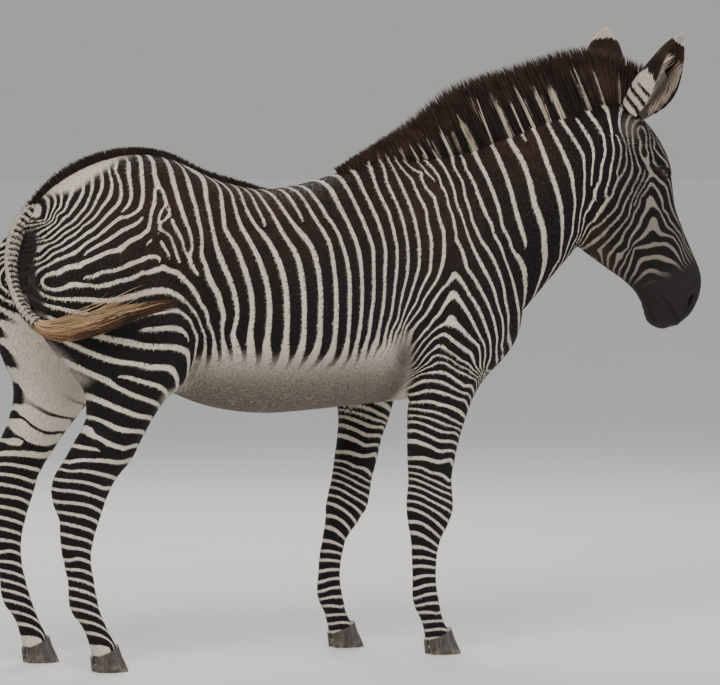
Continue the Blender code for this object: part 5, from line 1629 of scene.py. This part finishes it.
def make_strands(count, rings=12):
    """Long strands that follow the tail: each keeps its own share of the radius and its own angle, starts
    and ends at its own places along it, and thins to its tip."""
    middle, radius, length, side, out = carried(TAIL[4:], 14)
    share = np.linspace(0, 1, rings)[None]
    start = CHANCE.uniform(0.10, 0.52, (count, 1)) * length[-1]
    end = start + CHANCE.uniform(0.35, 0.75, (count, 1)) * length[-1]
    end = np.minimum(end, (0.58 + 0.42 * CHANCE.random((count, 1)) ** 0.8) * length[-1])
    run = start + (end - start) * share
    angle = CHANCE.uniform(0, 2 * np.pi, (count, 1)) + CHANCE.normal(0, 0.5, (count, 1)) * share
    reach = np.sqrt(CHANCE.random((count, 1))) * (0.80 + 0.15 * CHANCE.random((count, 1)) * share)

    def at(values):
        return np.stack([np.interp(run, length, values[:, k]) for k in range(3)], 2)

    size = np.interp(run, length, radius)
    centre = at(middle) + (size * reach)[..., None] * (np.cos(angle)[..., None] * at(side)
                                                       + np.sin(angle)[..., None] * at(out))
    loose = np.where(CHANCE.random((count, 1)) < 0.10, CHANCE.uniform(0.03, 0.085, (count, 1)), 0.014)
    rise = np.maximum(np.sin(angle), 0) * share ** 1.6 * CHANCE.uniform(0.2, 1, (count, 1)) * loose
    centre[..., 2] += rise + 0.004 * np.sin(9 * share + CHANCE.uniform(0, 6.3, (count, 1))) * share
    centre[..., 1] -= 0.3 * rise
    ahead = np.gradient(centre, axis=1)
    ahead /= np.linalg.norm(ahead, axis=2, keepdims=True)
    across = np.cross(ahead, np.array((0.0, 1.0, 0.2)))
    across /= np.linalg.norm(across, axis=2, keepdims=True)
    outer = np.cross(ahead, across)
    thick = (CHANCE.uniform(0.0011, 0.0022, (count, 1)) * (1 - share ** 2.5) ** 0.8 + 0.00015)[..., None]
    ring = np.stack([centre - thick * across, centre + thick * across * 0.5 + thick * outer,
                     centre + thick * across * 0.5 - thick * outer], 2)
    ends = np.stack([centre[:, 0] - 0.002 * ahead[:, 0], centre[:, -1] + 0.004 * ahead[:, -1]], 1)
    points = np.concatenate([ring.reshape(count, rings * 3, 3), ends], 1).reshape(-1, 3)
    along = np.r_[np.repeat(share[0], 3), 0.0, 1.0]
    low = 0.5 - 0.5 * np.sin(angle[:, :1]) * reach[:, :1]
    return points, lock_faces(count, rings), along, run / length[-1], low.ravel(), angle[:, 0]


strand_points, strand_faces, strand_along, strand_run, strand_low, strand_angle = make_strands(TUFT_STRANDS)
tuft = piece("tail_tuft_hair", strand_points, strand_faces)
strand_place = np.concatenate([np.repeat(strand_run, 3, 1), strand_run[:, :1], strand_run[:, -1:]], 1)
# painted shade: the lower strands are less fair and more soiled, for the tuft's shaded underside; the darker
# ends are the hair's own colour
tuft_white = mixed(1.2, 0.0, smooth(0.34, 0.72, 0.42 * strand_low[:, None] + 0.62 * strand_place))
hair_marks(tuft.data, np.full(TUFT_STRANDS, 0.10) + CHANCE.normal(0, 0.06, TUFT_STRANDS), tuft_white, 1.0,
           np.clip(strand_low * 1.1 - 0.1 + CHANCE.normal(0, 0.25, TUFT_STRANDS), 0, 1)[:, None],
           CHANCE.random(TUFT_STRANDS))
unwrapped(tuft.data, hair_map((strand_angle % (2 * np.pi)) / (2 * np.pi), strand_along, strand_low > 0.5))
tuft.data.materials.append(hair_material("tail hair", 0.6, 0.2, 1200.0, White=rgba(0.52, 0.37, 0.22),
                                         Soiled=rgba(0.26, 0.135, 0.06), Brown=rgba(0.085, 0.040, 0.020)))
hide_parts("tail_tuft")

# -------------------------------------------------------------------------------------------- ears
# Two big rounded ears, each a thin cupped leaf of skin rolled into a tube at its root: striped, then pale,
# then dark with a white tip outside, and lined with long pale hair inside.

EAR_LENGTH, EAR_THICKNESS = 0.246, 0.005
EAR_ROOT = (0.020, 0.055, -0.012)  # way, side and level on the head
EAR_AXES = {"right": (0.492, -0.240, 0.837), "left": (0.160, 0.350, 0.905)}
EAR_MOUTHS = {"right": (0.339, -0.833, -0.408), "left": (0.158, 0.886, -0.408)}
# Share of the length, radius, half the angle that the leaf wraps, bow of its middle line
EAR = np.array([(0.00, 0.032, 150, 0.000), (0.12, 0.044, 140, -0.006), (0.28, 0.056, 126, -0.015),
                (0.45, 0.060, 112, -0.022), (0.62, 0.055, 100, -0.022), (0.78, 0.045, 90, -0.017),
                (0.90, 0.031, 82, -0.010), (0.97, 0.019, 76, -0.004), (1.00, 0.008, 70, -0.002)])
EAR_COLUMNS, EAR_ROWS = 48, 60
EAR_TUFTS, LINING_LOCKS = 7600, 700


def make_ear(side, inward, share, turn):
    """Points of the leaf at shares of its length and turns (-1 to 1) across it: root + share * length * axis
    - (radius * cos(angle) + bow) * mouth + radius * sin(angle) * across, on a radius made smaller inward."""
    sign = -1 if side == "right" else 1
    axis = np.array(EAR_AXES[side]) / np.linalg.norm(EAR_AXES[side])
    mouth = np.array(EAR_MOUTHS[side])
    mouth = mouth - mouth @ axis * axis
    mouth /= np.linalg.norm(mouth)
    across = np.cross(axis, mouth)
    root = head_point(EAR_ROOT[0], sign * EAR_ROOT[1], EAR_ROOT[2])
    fine = between(EAR, 10)
    radius, curl, bow = (np.interp(share, fine[:, 0], fine[:, k]) for k in (1, 2, 3))
    angle = np.radians(curl) * turn
    radius = radius - inward
    return (root + (share * EAR_LENGTH)[..., None] * axis - (radius * np.cos(angle) + bow)[..., None] * mouth
            + (radius * np.sin(angle))[..., None] * across), axis, mouth


def ear_leaf(side):
    """The leaf's outer and inner faces as one closed surface round its rim: each row runs along the outside,
    turns over the rim and comes back along the inside."""
    turn = np.linspace(-1, 1, EAR_COLUMNS)
    share = np.linspace(0, 1, EAR_ROWS) ** 0.92
    s, t = np.meshgrid(share, np.r_[turn, turn[::-1]], indexing="ij")
    inside = np.r_[np.zeros(EAR_COLUMNS), np.ones(EAR_COLUMNS)][None]
    rim = smooth(1.0, 0.86, np.abs(t)) * smooth(1.0, 0.93, s)
    inward = 0.0006 + inside * (EAR_THICKNESS - 0.0016) * (0.25 + 0.75 * rim)
    points, axis, _ = make_ear(side, inward, s, t)
    points = points - axis * (0.002 * inside * smooth(0.93, 1.0, s))[..., None]
    faces = rolled(EAR_ROWS, 2 * EAR_COLUMNS)
    return points.reshape(-1, 3), faces, s.ravel(), t.ravel(), np.repeat(inside, EAR_ROWS, 0).ravel()


def ear_marks(share, turn, inside, side):
    """Outside: curved stripes near the root, pale with dark streaks, dark, and a white tip. Inside: pale,
    with a dark rim, and greyed and a little darkened as painted shade in the cup."""
    wave = share * 9.5 + 0.9 * turn ** 2 + 0.2
    streaked = smooth(0.34, 0.42, share)
    wave = mixed(wave, 3.6 * turn + 2.5 * share, streaked)
    outer_white = mixed(0.58, 1.2, smooth(0.29, 0.33, share))
    outer_white = mixed(outer_white, 0.80 if side == "right" else 1.1, smooth(0.43, 0.47, share))
    edge = (0.40 if side == "right" else 0.34) + 0.05 * np.sin(7 * turn)
    outer_white = mixed(outer_white, NO_WHITE, smooth(edge, edge + 0.08, share))
    cap = 0.895 if side == "right" else 0.82
    tip = smooth(cap, cap + 0.03, share)
    outer_white = mixed(outer_white, 1.1, tip)
    near_rim = smooth(0.86, 0.96, np.abs(turn)) * smooth(0.10, 0.25, share)
    inner_white = mixed(1.1, NO_WHITE, near_rim * (1 - tip))
    inner_white = mixed(inner_white, NO_WHITE, smooth(0.52, 0.62, share) * (1 - tip))
    white = mixed(outer_white, inner_white, inside)
    brown = 0.25 + 0.35 * smooth(0.6, 0.7, share)
    # inside, the greyer white and the touch of dark tone are painted shade in the cup
    soiled_and_shaded = mixed(0.15, 0.45, inside) * (1 - tip)
    tones = np.stack([0.10 * inside * (1 - tip), brown, soiled_and_shaded, 0 * white], 1)
    return wave, channels(white, 0.0), tones


for ear_side in ("right", "left"):
    ear_points, ear_faces, ear_share, ear_turn, ear_inside = ear_leaf(ear_side)
    ear_faces = outward(ear_points, ear_faces)
    ear = piece("ear_skin_" + ear_side, ear_points, ear_faces)
    mark(ear.data, *ear_marks(ear_share, ear_turn, ear_inside, ear_side))
    ear.data.materials.append(hide.data.materials[0])
    # short coat outside and round the rim
    s, t = CHANCE.random(EAR_TUFTS) ** 0.8, CHANCE.uniform(-1, 1, EAR_TUFTS)
    kept = (s > 0.04) & (s < 0.985)
    s, t = s[kept], t[kept]
    root = make_ear(ear_side, 0.0006, s, t)[0]
    beyond = make_ear(ear_side, 0.0006, np.minimum(s + 0.01, 1), t)[0]
    beside = make_ear(ear_side, 0.0006, s, t + 0.02)[0]
    lean = unit(np.cross(beyond - root, beside - root))
    lean *= np.sign(((root - make_ear(ear_side, 0.02, s, t)[0]) * lean).sum(1))[:, None]
    tufts = make_tufts(root, lean, unit(beyond - root), CHANCE.uniform(0.005, 0.009, len(s)), 0.0017, 0.14)
    fur = coat_piece("coat_ear_" + ear_side, tufts, ear_marks(s, t, 0 * s, ear_side),
                     CHANCE.random(len(s)), (s, t))
    # long pale hair inside, from both rims and the floor of the cup
    count = LINING_LOCKS
    s = CHANCE.uniform(0.08, 0.66, count)
    t = np.where(CHANCE.random(count) < 0.75,
                 np.sign(CHANCE.normal(0, 1, count)) * CHANCE.uniform(0.62, 0.95, count),
                 CHANCE.uniform(-0.6, 0.6, count))
    root, axis, mouth = make_ear(ear_side, EAR_THICKNESS - 0.001, s, t)
    middle_line = make_ear(ear_side, 0.03, s, 0 * t)[0] + 0.03 * mouth
    way = unit(0.9 * unit(middle_line - root) + 1.0 * axis + 0.25 * mouth
               + 0.15 * CHANCE.normal(0, 1, (count, 3)))
    span = CHANCE.uniform(0.018, 0.034, count) * smooth(0.95, 0.6, s) + 0.006
    hair, hair_faces, hair_along = make_locks(root, way * span[:, None], 0.25 * axis * span[:, None],
                                              mouth + 0 * root, CHANCE.uniform(0.0014, 0.0026, count))
    lining = piece("ear_lining_" + ear_side, hair, hair_faces)
    hair_marks(lining.data, np.zeros(count), np.full((count, len(hair_along)), 1.1), 0.3,
               CHANCE.uniform(0, 0.35, (count, 1)), CHANCE.random(count))
    unwrapped(lining.data, hair_map(s, hair_along, t > 0))
    lining.data.materials.append(mane_material)
    for part in (ear, fur, lining):
        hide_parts("ear_" + ear_side)

# ------------------------------------------------------------------------------------------ studio
# A wide pale floor under a pale even sky, soft light from above and both sides, and the camera.


def make_stage(rings=24, sides=96):
    """Flat round floor: rings whose radius grows with the square of their number."""
    angle = np.linspace(0, 2 * np.pi, sides, endpoint=False)
    radius = 60.0 * (np.arange(1, rings + 1)[:, None] / rings) ** 2
    points = np.stack([radius * np.cos(angle), radius * np.sin(angle), 0 * radius * angle], 2).reshape(-1, 3)
    faces = rolled(rings, sides)
    faces = [kind[:, ::-1] for kind in faces[:2]]
    floor = in_scene("studio_floor", make_mesh("studio_floor", points, faces))
    material, tree, shader = new_material("pale floor", Roughness=0.85, Specular_IOR_Level=0.2)
    place = add(tree, "ShaderNodeTexCoord").outputs["Object"]
    tint = blended(tree, noise(tree, place, 2.0), rgba(0.74, 0.73, 0.70), rgba(0.78, 0.77, 0.74))
    tree.links.new(tint, shader.inputs["Base Color"])
    floor.data.materials.append(material)


make_stage()


def aim(obj, place, target):
    """Puts a lamp or camera at a place, looking at the target."""
    way = np.array(target, float) - np.array(place, float)
    pan = np.arctan2(way[1], way[0]) - np.pi / 2
    tilt = np.arctan2(way[2], np.hypot(way[0], way[1])) + np.pi / 2
    obj.location = place
    obj.rotation_euler = (tilt, 0, pan)


def lamp(name, place, size, power, colour):
    """Square lamp of this size and power, in watts, that shines on the animal's middle."""
    light = bpy.data.lights.new(name, "AREA")
    light.shape, light.size, light.energy, light.color = "SQUARE", size, power, colour
    aim(in_scene(name, light), place, (0, 0, 0.8))


lamp("key", (-3.2, -4.0, 5.0), 3.0, 330, (1.0, 0.97, 0.92))
lamp("fill", (4.5, -4.5, 2.6), 4.0, 110, (0.93, 0.96, 1.0))
lamp("rim", (1.0, 4.5, 4.6), 3.0, 170, (1.0, 0.98, 0.95))


def make_sky():
    """Even pale sky that dims towards the horizon to the floor's own shade."""
    world = bpy.data.worlds.new("studio")
    world.use_nodes = True
    tree = world.node_tree
    way = add(tree, "ShaderNodeTexCoord").outputs["Generated"]
    rise = add(tree, "ShaderNodeSeparateXYZ", {0: way}).outputs["Z"]
    tint = blended(tree, ranged(tree, rise, 0.0, 0.30), rgba(0.405, 0.405, 0.395), rgba(0.56, 0.575, 0.60))
    tree.links.new(tint, tree.nodes["Background"].inputs["Color"])
    bpy.context.scene.world = world


make_sky()

CAMERA_TARGET = np.array((-0.0175, 0.0345, 0.80))
CAMERA_TURN, CAMERA_RISE, CAMERA_AWAY, LENS = np.radians(26.0), np.radians(2.9), 14.0, 271.6
camera_data = bpy.data.cameras.new("camera")
camera_data.sensor_width, camera_data.lens = 36.0, LENS
camera_data.clip_end = 100.0
camera = in_scene("camera", camera_data)
aim(camera, CAMERA_TARGET + CAMERA_AWAY * np.array((-np.sin(CAMERA_TURN) * np.cos(CAMERA_RISE),
                                                    -np.cos(CAMERA_TURN) * np.cos(CAMERA_RISE),
                                                    np.sin(CAMERA_RISE))), CAMERA_TARGET)
bpy.context.scene.camera = camera
